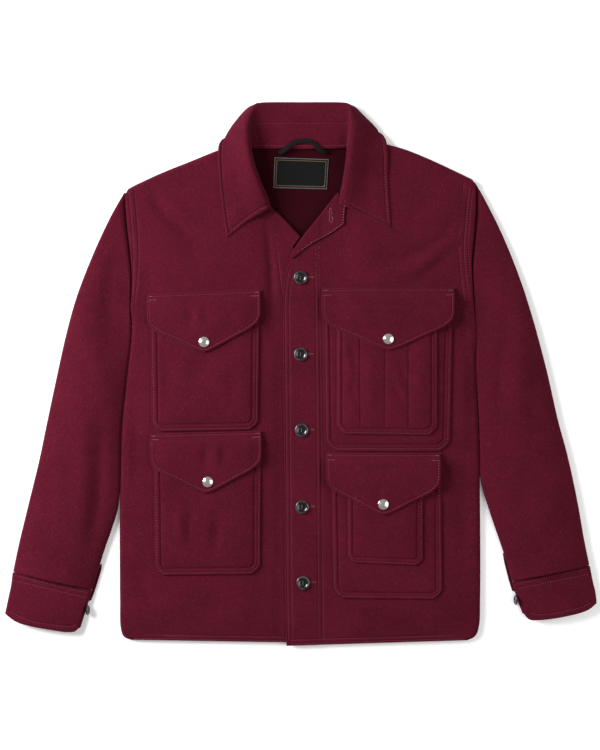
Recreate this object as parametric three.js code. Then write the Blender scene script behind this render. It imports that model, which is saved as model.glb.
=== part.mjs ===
// A mackinaw jacket of heavy wool, laid on its back with the sleeves a little out from the sides.
// Millimetres, +X to the viewer's right, +Y towards the collar, +Z up from the surface it lies on.
// Left and right are the viewer's. Outline tables follow the middle of the cloth.
import * as THREE from 'three';

// Cloth and working sizes
const WOOL = 2.6;
const COLLAR_CLOTH = 4;
const FLAP_CLOTH = 4;
const CUFF_CLOTH = 3.4;
const SEAM = 0.3;
const BODY_AIR = 3.2;
const SLEEVE_AIR = 3.5;
const CUFF_AIR = 3.2;
const BODY_FOLD = 5;
const TUBE_FOLD = 3.2;
const COLLAR_ROLL = 3.4;

// Heights of the middle of the cloth
const BACK_MIDDLE = WOOL / 2;
const FRONT_MIDDLE = WOOL + SEAM + BODY_AIR + WOOL / 2;
const FRONT_RIM = WOOL + SEAM + 0.5;
const UNDERLAP_MIDDLE = WOOL + SEAM + 1.2 + WOOL / 2;
const OVERLAP_MIDDLE = UNDERLAP_MIDDLE + WOOL + SEAM + 0.3;

const WOOL_FINISH = { color: 0x6b1c33, roughness: 0.95, metalness: 0 };
const HORN_FINISH = { color: 0x1c1c1e, roughness: 0.3, metalness: 0 };
const METAL_FINISH = { color: 0xcfc9bd, roughness: 0.2, metalness: 1 };
const TAPE_FINISH = { color: 0x161617, roughness: 0.8, metalness: 0 };

const jacket = new THREE.Group();

function add(name, geometry, finish = WOOL_FINISH) {
  const mesh = new THREE.Mesh(geometry, new THREE.MeshStandardMaterial(finish));
  mesh.name = name;
  jacket.add(mesh);
  return mesh;
}

// Outlines: each stretch is a smooth curve through its points, and stretches meet at corners

function outline(...stretches) {
  const path = new THREE.CurvePath();
  for (const points of stretches) {
    const corners = points.map(([x, y]) => new THREE.Vector3(x, y, 0));
    const bend = points.length > 2;
    const curve = bend
      ? new THREE.CatmullRomCurve3(corners, false, 'centripetal') : new THREE.LineCurve3(...corners);
    path.add(curve);
  }
  return path;
}

// A net of points between four outlines that meet at their ends
function net(bottom, top, start, end, across, along) {
  const corner = [bottom.getPoint(0), bottom.getPoint(1), top.getPoint(0), top.getPoint(1)];
  return along.map((v) => across.map((u) => {
    const point = new THREE.Vector3();
    point.addScaledVector(bottom.getPoint(u), 1 - v).addScaledVector(top.getPoint(u), v);
    point.addScaledVector(start.getPoint(v), 1 - u).addScaledVector(end.getPoint(v), u);
    point.addScaledVector(corner[0], -(1 - u) * (1 - v)).addScaledVector(corner[1], -u * (1 - v));
    point.addScaledVector(corner[2], -(1 - u) * v).addScaledVector(corner[3], -u * v);
    return point;
  }));
}

// Even steps from 0 to 1, with closer ones where a folded edge curves down
function steps(count, startFold = [], endFold = []) {
  const list = new Set([...startFold, ...endFold.map((d) => 1 - d)]);
  const low = Math.max(0, ...startFold);
  const high = 1 - Math.max(0, ...endFold);
  for (let i = 0; i <= count; i += 1) list.add(low + (high - low) * i / count);
  return [...list].sort((a, b) => a - b).filter((value, i, all) => i === 0 || value - all[i - 1] > 1e-6);
}

function roundOver(distance, width) {
  return distance >= width ? 1 : Math.sqrt(1 - (1 - distance / width) ** 2);
}

function ease(value, from, to) {
  const t = Math.min(1, Math.max(0, (value - from) / (to - from)));
  return t * t * (3 - 2 * t);
}

// How high soft folds raise or sink the cloth: each fades out to its sides and its ends
function foldHeight(folds, { x, y }) {
  return folds.reduce((sum, { from, to, height, width }) => {
    const [runX, runY] = [to[0] - from[0], to[1] - from[1]];
    const along = ((x - from[0]) * runX + (y - from[1]) * runY) / (runX ** 2 + runY ** 2);
    const share = Math.min(1, Math.max(0, along));
    const gap = Math.hypot(x - from[0] - share * runX, y - from[1] - share * runY);
    return sum + height * Math.exp(-((gap / width) ** 2)) * Math.sin(Math.PI * share);
  }, 0);
}

// Closed solids

function closedSolid(points, faces) {
  const positions = new Float32Array(points.flatMap((p) => [p.x, p.y, p.z]));
  let volume = 0;
  for (const [a, b, c] of faces) {
    volume += points[a].dot(new THREE.Vector3().crossVectors(points[b], points[c]));
  }
  const outward = volume > 0 ? faces : faces.map(([a, b, c]) => [a, c, b]);
  const geometry = new THREE.BufferGeometry();
  geometry.setAttribute('position', new THREE.BufferAttribute(positions, 3));
  geometry.setIndex(outward.flat());
  geometry.computeVertexNormals();
  return geometry;
}

// Joins an upper and a lower net of points into one solid; a ring net closes on itself
function between(upper, lower, ring) {
  const rows = upper.length;
  const columns = upper[0].length;
  const points = [...upper.flat(), ...lower.flat()];
  const top = (j, i) => j * columns + (i % columns);
  const under = (j, i) => rows * columns + top(j, i);
  const faces = [];
  const quad = (a, b, c, d) => faces.push([a, b, c], [a, c, d]);
  const lastColumn = ring ? columns : columns - 1;
  for (let j = 0; j < rows - 1; j += 1) {
    for (let i = 0; i < lastColumn; i += 1) {
      quad(top(j, i), top(j, i + 1), top(j + 1, i + 1), top(j + 1, i));
      quad(under(j, i), under(j + 1, i), under(j + 1, i + 1), under(j, i + 1));
    }
    if (!ring) {
      quad(top(j, 0), top(j + 1, 0), under(j + 1, 0), under(j, 0));
      quad(top(j, lastColumn), under(j, lastColumn), under(j + 1, lastColumn), top(j + 1, lastColumn));
    }
  }
  for (let i = 0; i < lastColumn; i += 1) {
    quad(top(0, i), under(0, i), under(0, i + 1), top(0, i + 1));
    quad(top(rows - 1, i), top(rows - 1, i + 1), under(rows - 1, i + 1), under(rows - 1, i));
  }
  return closedSolid(points, faces);
}

// Direction square to the cloth at each point of a net
function squareTo(points, ring) {
  const rows = points.length;
  const columns = points[0].length;
  return points.map((row, j) => row.map((point, i) => {
    const left = ring ? row[(i + columns - 1) % columns] : row[Math.max(0, i - 1)];
    const right = ring ? row[(i + 1) % columns] : row[Math.min(columns - 1, i + 1)];
    const below = points[Math.max(0, j - 1)][i];
    const above = points[Math.min(rows - 1, j + 1)][i];
    const along = new THREE.Vector3().subVectors(above, below);
    return new THREE.Vector3().subVectors(right, left).cross(along).normalize();
  }));
}

// A wall of even thickness on both sides of a net
function wall(points, thickness, ring = false) {
  const square = squareTo(points, ring);
  const moved = (amount) => points.map((row, j) => row.map(
    (point, i) => point.clone().addScaledVector(square[j][i], amount)));
  return between(moved(thickness / 2), moved(-thickness / 2), ring);
}

// Body panels

const LEFT_SIDE = [
  [-243.6, -386.4], [-256.6, -381.3], [-260.7, -369], [-261.6, -328.4], [-262, -270.4],
  [-262, -196.5], [-261.6, -154.4], [-259.8, -81.9], [-253, -9.4], [-245.8, 48.6], [-244.2, 74.7],
];
const LEFT_ARMHOLE = [
  [-244.2, 74.7], [-246.8, 96.4], [-245.3, 121.1], [-245.2, 147.2], [-248.1, 180.5],
  [-252.6, 221.1], [-254.3, 247.2], [-252.9, 259.6], [-247.5, 267.5],
];
const LEFT_SHOULDER = [
  [-247.5, 267.5], [-241.4, 271.9], [-200.1, 291], [-158.8, 307.5], [-121.1, 322.8], [-89.2, 334.2],
];
const LEFT_EDGE = [[18, -390.8], [18, 121.1]];
const LEFT_NECKLINE = [
  [18, 121.1], [16, 153], [10, 178.3], [2.2, 194.3], [-20.3, 218.9], [-43.5, 241.4],
  [-56.5, 263.2], [-71, 289.3], [-82.6, 313.9], [-89.2, 334.2],
];
const RIGHT_SIDE = [
  [239.2, -387.1], [252.3, -380.6], [257.5, -366.1], [259, -328.4], [259.3, -257.4],
  [258.8, -183.4], [258, -110.9], [256.1, -52.9], [253.2, 5.1], [252.6, 44.2],
];
const RIGHT_ARMHOLE = [
  [252.6, 44.2], [252, 79], [249.2, 121.1], [247.2, 157.3], [249.2, 186.3],
  [253, 229.8], [252.9, 258.8], [249.8, 276.9], [245, 282.3],
];
const RIGHT_SHOULDER = [
  [245, 282.3], [206.6, 300.7], [178.9, 313.2], [151.1, 324.2], [126.1, 331.2], [94.2, 337.8],
];
const RIGHT_EDGE = [
  [-21, -395.1], [-22.9, -328.4], [-23.8, -196.5], [-24.6, -96.4], [-25.8, 41.3], [-25.7, 121.1],
];
const RIGHT_NECKLINE = [
  [-25.7, 121.1], [-21, 150.1], [-10.2, 177.6], [1.4, 195], [27.6, 227.7], [49.3, 254.5],
  [63.1, 266.1], [72.5, 292.2], [84.1, 316.8], [94.2, 337.8],
];
const BACK_NECK = [
  [-89.2, 334.2], [-71, 332.1], [-37.7, 330.2], [1.4, 329.9], [40.6, 330.9], [75.4, 333.9], [94.2, 337.8],
];
const NOTCH = { left: 74.7, right: 44.2 };
const SEAM_RISE = 1.1;

// The largest folds of the fronts, which run from the armholes over the chest
const FRONT_FOLDS = [
  { from: [-232, 268], to: [-140, 190], height: -1.5, width: 15 },
  { from: [-212, 276], to: [-138, 226], height: 0.8, width: 14 },
  { from: [232, 232], to: [100, 158], height: -1.5, width: 14 },
  { from: [232, 204], to: [112, 140], height: 1, width: 13 },
];
const FOLD_COLUMNS = [0.066, 0.155, 0.244, 0.333, 0.422, 0.511];
const FOLD_ROWS = [0.765, 0.815, 0.865, 0.915, 0.965];

const SIDE_CURL = [0, 0.0018, 0.006, 0.012, 0.022];
const SHOULDER_CURL = [0, 0.0009, 0.0028, 0.006, 0.011];

// The front rolls down over the side below the armhole notch, and over the shoulder
function frontNet(side, armhole, shoulder, edge, neckline, notch, plateau, bandColumns) {
  const hem = [side[0], edge[0]];
  const columns = [...steps(11, SIDE_CURL), ...bandColumns, ...FOLD_COLUMNS];
  const across = [...new Set(columns)].sort((a, b) => a - b);
  const along = [...steps(20, [], SHOULDER_CURL), ...FOLD_ROWS].sort((a, b) => a - b);
  const points = net(
    outline(hem), outline(shoulder), outline(side, armhole), outline(edge, neckline), across, along);
  const last = points.length - 1;
  const flat = points.map((row) => row.map((point) => point.clone()));
  points.forEach((row, j) => row.forEach((point, i) => {
    const height = plateau(point.x) + foldHeight(FRONT_FOLDS, point);
    const open = ease(flat[j][0].y, notch - 14, notch + 4);
    const sideCurl = Math.max(open, roundOver(flat[j][i].distanceTo(flat[j][0]), BODY_FOLD));
    const shoulderCurl = roundOver(flat[j][i].distanceTo(flat[last][i]), BODY_FOLD);
    const seamRise = open * SEAM_RISE * (1 - ease(flat[j][i].distanceTo(flat[j][0]), 6, 16));
    point.z = FRONT_RIM + (height + seamRise - FRONT_RIM) * Math.min(sideCurl, shoulderCurl);
  }));
  return points;
}

function leftPlateau(x) {
  return FRONT_MIDDLE + (UNDERLAP_MIDDLE - FRONT_MIDDLE) * ease(x, -44, -28);
}

function rightPlateau(x) {
  return FRONT_MIDDLE + (OVERLAP_MIDDLE - FRONT_MIDDLE) * (1 - ease(x, 19, 30));
}

const LEFT_BAND = [0.78, 0.84];
const RIGHT_BAND = [0.8035, 0.843];
add('front_left', wall(
  frontNet(LEFT_SIDE, LEFT_ARMHOLE, LEFT_SHOULDER, LEFT_EDGE, LEFT_NECKLINE, NOTCH.left, leftPlateau,
    LEFT_BAND), WOOL));
add('front_right', wall(
  frontNet(RIGHT_SIDE, RIGHT_ARMHOLE, RIGHT_SHOULDER, RIGHT_EDGE, RIGHT_NECKLINE, NOTCH.right, rightPlateau,
    RIGHT_BAND), WOOL));

function buildBack() {
  const hem = [LEFT_SIDE[0], RIGHT_SIDE[0]];
  const across = steps(18);
  const along = steps(16);
  const top = outline(LEFT_SHOULDER, BACK_NECK, [...RIGHT_SHOULDER].reverse());
  const points = net(outline(hem), top, outline(LEFT_SIDE, LEFT_ARMHOLE), outline(RIGHT_SIDE, RIGHT_ARMHOLE),
    across, along);
  points.forEach((row) => row.forEach((point) => { point.z = BACK_MIDDLE; }));
  return wall(points, WOOL);
}
add('back', buildBack());

// Sleeves and cuffs are flattened tubes

const SLEEVES = {
  left: {
    start: [
      [-257.8, 258.8], [-256.1, 244.3], [-254, 221.1], [-249.2, 180.5], [-246.3, 147.2],
      [-247.1, 121.1], [-248.5, 96.4], [-248.8, 73.2],
    ],
    outer: [
      [-257.8, 258.8], [-275.8, 226.5], [-298.7, 177.6], [-324.4, 111.9], [-340, 55.8], [-354.1, -7.5],
      [-366.8, -67.4], [-378.7, -125], [-392.9, -183.4], [-407.7, -244.6], [-416.9, -287.8],
    ],
    inner: [
      [-248.8, 73.2], [-250, 48.6], [-256.9, -9.4], [-263.9, -81.9], [-265.6, -154.4],
      [-266.5, -193.6], [-275.5, -224], [-285.6, -253], [-294.3, -280.6], [-304.2, -313.2],
    ],
    folds: [
      { from: [-290, -50], to: [-306, -275], height: -1.1, width: 15 },
      { from: [-314, -30], to: [-324, -265], height: 0.9, width: 16 },
      { from: [-272, 190], to: [-276, 50], height: -0.8, width: 14 },
    ],
  },
  right: {
    start: [
      [254, 273.3], [253.8, 254.5], [253.9, 229.8], [250, 186.3], [248, 157.3],
      [250, 121.1], [252.9, 79], [256.9, 41.3],
    ],
    outer: [
      [254, 273.3], [265.3, 253], [290.7, 202.3], [315.4, 141.4], [333.5, 86.3], [355.5, 4.8],
      [371.9, -67.4], [386, -119.9], [399.5, -182], [410.6, -244.6], [417.6, -278.4],
    ],
    inner: [
      [256.9, 41.3], [257.5, 5.1], [260.4, -52.9], [262.4, -110.9], [263.6, -154.4],
      [274.8, -199.4], [294.1, -255.9], [301.6, -279.1], [307.4, -300.9],
    ],
    folds: [
      { from: [302, 106], to: [290, -100], height: -1.1, width: 15 },
      { from: [326, 80], to: [324, -130], height: 0.9, width: 16 },
      { from: [334, -120], to: [334, -250], height: -0.8, width: 15 },
    ],
  },
};
const CUFFS = {
  left: {
    start: [[-417.1, -288.5], [-304.6, -313.9]],
    outer: [[-417.1, -288.5], [-419.3, -306.7], [-423.8, -328.4], [-428.3, -349.4]],
    inner: [[-304.6, -313.9], [-313.8, -342.9], [-321.9, -369]],
    end: [
      [-428.3, -349.4], [-414.7, -358.9], [-395.8, -365.3], [-363.9, -371.2], [-339.3, -374.8],
      [-327.7, -374.1], [-321.9, -369],
    ],
  },
  right: {
    start: [[417.8, -279.1], [307.6, -301.6]],
    outer: [[417.8, -279.1], [422.2, -302.3], [426.3, -319.7], [427.8, -334.2]],
    inner: [[307.6, -301.6], [313.9, -322.6], [323.1, -348]],
    end: [[427.8, -334.2], [416.1, -342.9], [385.7, -351.6], [345.1, -357.4], [330.6, -356.6], [323.1, -348]],
  },
};
const TUBE_CURL = [0, 0.0027, 0.009, 0.022];
// Folds reach their full height this far in from a tube's folded sides
const FOLD_CLEAR = 26;

// Rings go over the top from the outer fold to the inner one and come back underneath
function tube(shape, cloth, air, rings) {
  const reach = (cloth + air) / 2;
  const centre = cloth / 2 + reach;
  const end = shape.end ?? [shape.outer.at(-1), shape.inner.at(-1)];
  const across = steps(10, TUBE_CURL, TUBE_CURL);
  const flat = net(
    outline(shape.start), outline(end), outline(shape.outer), outline(shape.inner), across, steps(rings));
  const points = flat.map((row) => {
    const over = [];
    const under = [];
    row.forEach((point) => {
      const distance = Math.min(point.distanceTo(row[0]), point.distanceTo(row.at(-1)));
      const rise = reach * roundOver(distance, TUBE_FOLD);
      const fold = foldHeight(shape.folds ?? [], point) * ease(distance, 2, FOLD_CLEAR);
      over.push(new THREE.Vector3(point.x, point.y, centre + rise + fold));
      under.push(new THREE.Vector3(point.x, point.y, centre - rise));
    });
    return [...over, ...under.slice(1, -1).reverse()];
  });
  return wall(points, cloth, true);
}

for (const side of ['left', 'right']) {
  add(`sleeve_${side}`, tube(SLEEVES[side], WOOL, SLEEVE_AIR, 16));
  add(`cuff_${side}`, tube(CUFFS[side], CUFF_CLOTH, CUFF_AIR, 3));
}

// The collar: sections from the neck seam up to the roll and out over the fall to its edge
// lay is -1 where the fall lies on top of the stand and 1 where it is folded away beneath it

const COLLAR_SECTIONS = [
  {
    neck: [-41.3, 235.4, 11.8], roll: [-45.4, 238.8, 14],
    middle: [-74.5, 221.6, 12.5], edge: [-107.9, 195.3, 11.6], lay: -1,
  },
  {
    neck: [-47.9, 250.1, 11.6], roll: [-51.5, 257.4, 17],
    middle: [-81.2, 238.5, 13], edge: [-111.2, 216.8, 11.6], lay: -1,
  },
  {
    neck: [-58.7, 270.4, 9.6], roll: [-63.2, 286.4, 21],
    middle: [-88.5, 266.1, 14.5], edge: [-115.3, 247.2, 11.6], lay: -1,
  },
  {
    neck: [-69.6, 295.1, 9.4], roll: [-71.4, 313.9, 24],
    middle: [-94.2, 296.5, 15.5], edge: [-118.5, 279.1, 11.6], lay: -1,
  },
  {
    neck: [-79, 316.8, 9], roll: [-74.4, 337.1, 25],
    middle: [-100, 328, 14.5], edge: [-120.6, 319, 11.6], lay: -1,
  },
  {
    neck: [-79, 327, 8], roll: [-75, 358.9, 24],
    middle: [-106.1, 342.5, 8], edge: [-116.5, 335, 6.5], lay: -0.6,
  },
  {
    neck: [-71, 327.3, 5.6], roll: [-70.3, 379.9, 19],
    middle: [-86.3, 374, 6.2], edge: [-87, 340.8, 2.8], lay: 0,
  },
  {
    neck: [-61.6, 327, 5], roll: [-63.8, 389.6, 13],
    middle: [-71, 385.7, 5], edge: [-71, 338.6, 2.8], lay: 0.5,
  },
  {
    neck: [-53.6, 326.7, 5], roll: [-55.1, 391.6, 8.5],
    middle: [-58, 379.2, 2.8], edge: [-56.5, 337.1, 2.8], lay: 1,
  },
  {
    neck: [1.4, 326.1, 5], roll: [1.4, 392.2, 7.5],
    middle: [1.4, 379.2, 2.8], edge: [1.4, 335.7, 2.8], lay: 1,
  },
  {
    neck: [58, 327, 5], roll: [62.4, 391.4, 8.5],
    middle: [63.8, 379.2, 2.8], edge: [60.9, 337.1, 2.8], lay: 1,
  },
  {
    neck: [66, 327.6, 5], roll: [69.3, 388.5, 13],
    middle: [74.7, 385.7, 5], edge: [74.7, 340.8, 2.8], lay: 0.5,
  },
  {
    neck: [74.7, 328.4, 5.6], roll: [71.8, 376.3, 19],
    middle: [91.3, 371.9, 6.2], edge: [91.3, 344.4, 2.8], lay: 0,
  },
  {
    neck: [83.4, 328.4, 8], roll: [70.3, 356, 24],
    middle: [111, 348, 8], edge: [119.5, 343.5, 6.5], lay: -0.6,
  },
  {
    neck: [83.4, 319.7, 9], roll: [68.1, 332.8, 25],
    middle: [103, 331, 14.5], edge: [125.4, 326.5, 11.6], lay: -1,
  },
  {
    neck: [74, 298, 9.4], roll: [66.4, 309.6, 24],
    middle: [100, 298, 15.5], edge: [126.7, 283.5, 11.6], lay: -1,
  },
  {
    neck: [66, 276.2, 9.6], roll: [62.6, 283.5, 21],
    middle: [95.7, 267.5, 14.5], edge: [128.3, 255.9, 11.6], lay: -1,
  },
  {
    neck: [60.6, 260.3, 11.6], roll: [58.6, 262.4, 17],
    middle: [93.5, 247.2, 13], edge: [130.2, 228.4, 11.6], lay: -1,
  },
  {
    neck: [56.3, 244.4, 11.8], roll: [56.4, 245.6, 14],
    middle: [94, 227.6, 12.5], edge: [131.2, 208.8, 11.6], lay: -1,
  },
];

function collarNet(rows, columns) {
  const runs = ['neck', 'roll', 'middle', 'edge'].map((key) => new THREE.CatmullRomCurve3(
    COLLAR_SECTIONS.map((section) => new THREE.Vector3(...section[key])), false, 'centripetal'));
  const lays = COLLAR_SECTIONS.map((section) => section.lay);
  const points = [];
  for (let j = 0; j <= rows; j += 1) {
    const t = j / rows;
    const [neck, roll, middle, edge] = runs.map((run) => run.getPoint(t));
    const place = t * (lays.length - 1);
    const index = Math.min(lays.length - 2, Math.floor(place));
    const lay = lays[index] + (lays[index + 1] - lays[index]) * (place - index);
    const toNeck = new THREE.Vector3(neck.x - roll.x, neck.y - roll.y, 0).normalize();
    const toMiddle = new THREE.Vector3(middle.x - roll.x, middle.y - roll.y, 0).normalize();
    const stand = roll.clone().addScaledVector(toNeck, COLLAR_ROLL);
    const fall = roll.clone().addScaledVector(toMiddle, COLLAR_ROLL);
    stand.z += COLLAR_ROLL * lay;
    fall.z -= COLLAR_ROLL * lay;
    const section = new THREE.CatmullRomCurve3([neck, stand, roll, fall, middle, edge], false, 'centripetal');
    points.push(section.getPoints(columns));
  }
  return points;
}
add('collar', wall(collarNet(32, 12), COLLAR_CLOTH));

// Lapels: the inner side of each front, turned out along the neckline fold
// Each row runs from the fold to the outer edge

const LAPEL_LEFT = [
  { fold: [-38, 233], outer: [-43, 226] },
  { fold: [-33.5, 229.5], outer: [-40, 214] },
  { fold: [-26.5, 222.5], outer: [-32, 206.5] },
  { fold: [-17, 213], outer: [-24, 196] },
  { fold: [-8.5, 203.5], outer: [-17, 187] },
  { fold: [-2, 197], outer: [-12.5, 182] },
];
const LAPEL_RIGHT = [
  { fold: [47, 250], outer: [57.5, 239.5] },
  { fold: [40.5, 243], outer: [61.5, 230] },
  { fold: [28.6, 227.7], outer: [63, 216.5] },
  { fold: [15.5, 211.5], outer: [42, 202] },
  { fold: [3, 195.5], outer: [20.5, 190.5] },
  { fold: [-8.2, 179], outer: [4.5, 180] },
  { fold: [-14, 167], outer: [-9, 168.5] },
];

const LAPEL_GAP = 0.85;

function lapel(rows, plateau) {
  const count = 4;
  const grid = (lift) => rows.map(({ fold, outer }) => steps(count).map((u) => {
    const x = fold[0] + (outer[0] - fold[0]) * u;
    const y = fold[1] + (outer[1] - fold[1]) * u;
    return new THREE.Vector3(x, y, plateau(x) + WOOL / 2 + LAPEL_GAP + lift);
  }));
  return between(grid(WOOL), grid(0), false);
}
add('lapel_left', lapel(LAPEL_LEFT, leftPlateau));
add('lapel_right', lapel(LAPEL_RIGHT, rightPlateau));

// Pockets and flaps: a patch hangs from its top edge, and its shape gives how far down it
// reaches at each place across

const FRONT_TOP = FRONT_MIDDLE + WOOL / 2;
const PATCH_STEP = WOOL + SEAM;
const POCKETS = [
  {
    name: 'pocket_upper_left', layer: 0,
    top: [[-218.5, 102], [-60, 107.5]], bottom: [[-216, -84.3], [-62, -81.5]],
  },
  {
    name: 'pocket_lower_left', layer: 0,
    top: [[-214, -101], [-57.7, -97.5]], bottom: [[-211.7, -292.2], [-59, -290.7]],
  },
  {
    name: 'pocket_upper_right', layer: 0,
    top: [[31, 110], [220.4, 110.5]], bottom: [[34.2, -112.8], [215.6, -113]],
  },
  {
    name: 'pencil_pocket_right', layer: 1,
    top: [[51.3, 108], [197, 108]], bottom: [[51.3, -87.7], [196.9, -89.2]],
  },
  {
    name: 'pocket_lower_right', layer: 0,
    top: [[43.2, -127.5], [202.7, -127.5]], bottom: [[46.4, -325.5], [204.5, -327]],
  },
  {
    name: 'small_pocket_right', layer: 1,
    top: [[66.7, -131], [176.3, -131]], bottom: [[67.3, -273.3], [176, -277.7]],
  },
];
const FLAPS = [
  { name: 'flap_upper_left', top: [[-222.9, 114.6], [-58.3, 121.4]], point: 87, layer: 1 },
  { name: 'flap_lower_left', top: [[-219, -87.3], [-56.8, -83.2]], point: 87.5, layer: 1 },
  { name: 'flap_upper_right', top: [[29.9, 123.6], [222.3, 124]], point: 90.5, layer: 2 },
  { name: 'flap_lower_right', top: [[36, -114.6], [202.3, -115.3]], point: 89.5, layer: 2 },
];
const FLAP_SHAPE = [
  [0, 0.38], [0.02, 0.5], [0.08, 0.62], [0.27, 0.8], [0.43, 0.955], [0.5, 1],
  [0.57, 0.965], [0.73, 0.81], [0.92, 0.62], [0.98, 0.5], [1, 0.38],
];
const POCKET_CORNER = { across: 0.085, up: 0.065 };
const POCKET_SHAPE = [
  [0, 1 - POCKET_CORNER.up], [POCKET_CORNER.across / 3, 1 - POCKET_CORNER.up / 3],
  [POCKET_CORNER.across, 1], [0.5, 1], [1 - POCKET_CORNER.across, 1],
  [1 - POCKET_CORNER.across / 3, 1 - POCKET_CORNER.up / 3], [1, 1 - POCKET_CORNER.up],
];
// How far below its top edge a flap leaves the front and has climbed onto its pocket
const FLAP_CLIMB = [5, 11];

function mix(a, b, t) {
  return a + (b - a) * t;
}

function pocket({ top, bottom, layer }) {
  const base = FRONT_TOP + SEAM + layer * PATCH_STEP;
  const grid = (height) => [0, 0.5, 1].map((down) => POCKET_SHAPE.map(([u, reach]) => {
    const x = mix(mix(top[0][0], top[1][0], u), mix(bottom[0][0], bottom[1][0], u), down * reach);
    const y = mix(mix(top[0][1], top[1][1], u), mix(bottom[0][1], bottom[1][1], u), down * reach);
    return new THREE.Vector3(x, y, height);
  }));
  return between(grid(base + WOOL), grid(base), false);
}

function flap({ top, point, layer }) {
  const low = FRONT_TOP + SEAM;
  const high = low + layer * PATCH_STEP;
  const grid = (lift) => [0, 1, 2, 3, 4].map((row) => FLAP_SHAPE.map(([u, reach]) => {
    const rest = point * reach - FLAP_CLIMB[1];
    const down = [0, FLAP_CLIMB[0], FLAP_CLIMB[1], FLAP_CLIMB[1] + rest / 2, point * reach][row];
    const height = row < 2 ? low : high;
    const x = mix(top[0][0], top[1][0], u);
    const y = mix(top[0][1], top[1][1], u) - down;
    return new THREE.Vector3(x, y, height + lift);
  }));
  return between(grid(FLAP_CLOTH), grid(0), false);
}
for (const shape of POCKETS) add(shape.name, pocket(shape));
for (const shape of FLAPS) add(shape.name, flap(shape));

// Buttons and snap caps are turned shapes; profiles run from the axis out and back

const BUTTON_RADIUS = 9.8;
const CUFF_BUTTON_RADIUS = 7.6;
const BUTTON_TURNS = 16;

function button(radius) {
  const profile = [
    [0, 0], [radius * 0.72, 0], [radius, 1], [radius, 2.2], [radius * 0.9, 3.1], [radius * 0.76, 3.1],
    [radius * 0.62, 2.1], [0, 1.9],
  ];
  const turned = new THREE.LatheGeometry(profile.map(([r, z]) => new THREE.Vector2(r, z)), BUTTON_TURNS);
  turned.rotateX(Math.PI / 2);
  return turned;
}

const BUTTON_HEIGHT = OVERLAP_MIDDLE + WOOL / 2 + SEAM;
const BUTTON_PLACES = [[-0.7, 138.9], [-0.6, 27.8], [0.7, -82.2], [1.6, -193.6], [2.9, -303.5]];
BUTTON_PLACES.forEach(([x, y], index) => {
  add(`button_${index + 1}`, button(BUTTON_RADIUS), HORN_FINISH).position.set(x, y, BUTTON_HEIGHT);
});

const SNAP_RADIUS = 7.6;
const SNAP_PROFILE = [
  [0, 0], [SNAP_RADIUS, 0], [SNAP_RADIUS, 1], [SNAP_RADIUS - 1.2, 2], [SNAP_RADIUS - 3.6, 2.6], [0, 2.8],
];
const SNAPS = [
  { name: 'snap_upper_left', at: [-140.2, 45.5], layer: 1 },
  { name: 'snap_lower_left', at: [-134.8, -156.6], layer: 1 },
  { name: 'snap_upper_right', at: [126.1, 49.9], layer: 2 },
  { name: 'snap_lower_right', at: [118.8, -188.9], layer: 2 },
];
for (const { name, at, layer } of SNAPS) {
  const cap = new THREE.LatheGeometry(SNAP_PROFILE.map(([r, z]) => new THREE.Vector2(r, z)), 14);
  cap.rotateX(Math.PI / 2);
  const height = FRONT_TOP + SEAM + layer * PATCH_STEP + FLAP_CLOTH + SEAM;
  add(name, cap, METAL_FINISH).position.set(at[0], at[1], height);
}

// Beside each cuff's inner fold, the edge of the layer beneath and its button standing on edge

const CUFF_STRIPS = {
  left: [
    { inner: [-290.2, -277.6], outer: [-289.6, -276.6] },
    { inner: [-293, -285.5], outer: [-290, -284.5] },
    { inner: [-301.8, -314], outer: [-298.6, -313] },
    { inner: [-307.6, -330.5], outer: [-304.8, -329.5] },
  ],
  right: [
    { inner: [294.3, -261.8], outer: [293.4, -260.9] },
    { inner: [298.6, -274.8], outer: [295.3, -273.8] },
    { inner: [305.2, -300.8], outer: [301.8, -299.8] },
    { inner: [309.9, -316.8], outer: [306.9, -315.8] },
  ],
};
const CUFF_BUTTONS = { left: [-309.8, -341.7], right: [311.7, -327.3] };
const CUFF_BUTTON_TILT = 68 * Math.PI / 180;

for (const side of ['left', 'right']) {
  const strip = (height) => CUFF_STRIPS[side].map(({ inner, outer }) => [
    new THREE.Vector3(inner[0], inner[1], height), new THREE.Vector3(outer[0], outer[1], height)]);
  add(`cuff_placket_${side}`, between(strip(WOOL), strip(0), false));
  const way = side === 'left' ? 1 : -1;
  const turned = button(CUFF_BUTTON_RADIUS);
  turned.rotateY(way * CUFF_BUTTON_TILT);
  const [x, y] = CUFF_BUTTONS[side];
  const height = SEAM + CUFF_BUTTON_RADIUS * Math.sin(CUFF_BUTTON_TILT);
  add(`cuff_button_${side}`, turned, HORN_FINISH).position.set(x, y, height);
}

// Inside the back neck: a woven label and a tape loop to hang the jacket by

const LABEL_THICKNESS = 0.8;
const LABEL_CORNERS = { top: [[-38.3, 313.9], [40.3, 311.2]], bottom: [[-40.2, 269.6], [37.6, 267.7]] };
const LOOP_TAPE = { width: 6.4, thickness: 1.2 };
const LOOP_PATH = [
  [-33, 321.2, 3.6], [-27.5, 321.8, 8.4], [-18.5, 328.4, 11.2], [-10, 334.6, 11.6], [0, 337.4, 12],
  [11.6, 336.9, 12], [19.5, 332.6, 11.6], [26, 325.6, 10.8], [33.4, 321.6, 8.4], [40.4, 320.8, 3.6],
];

function labelPatch() {
  const grid = (height) => [LABEL_CORNERS.bottom, LABEL_CORNERS.top].map(
    (row) => row.map(([x, y]) => new THREE.Vector3(x, y, height)));
  const base = WOOL + SEAM;
  return between(grid(base + LABEL_THICKNESS), grid(base), false);
}

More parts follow.
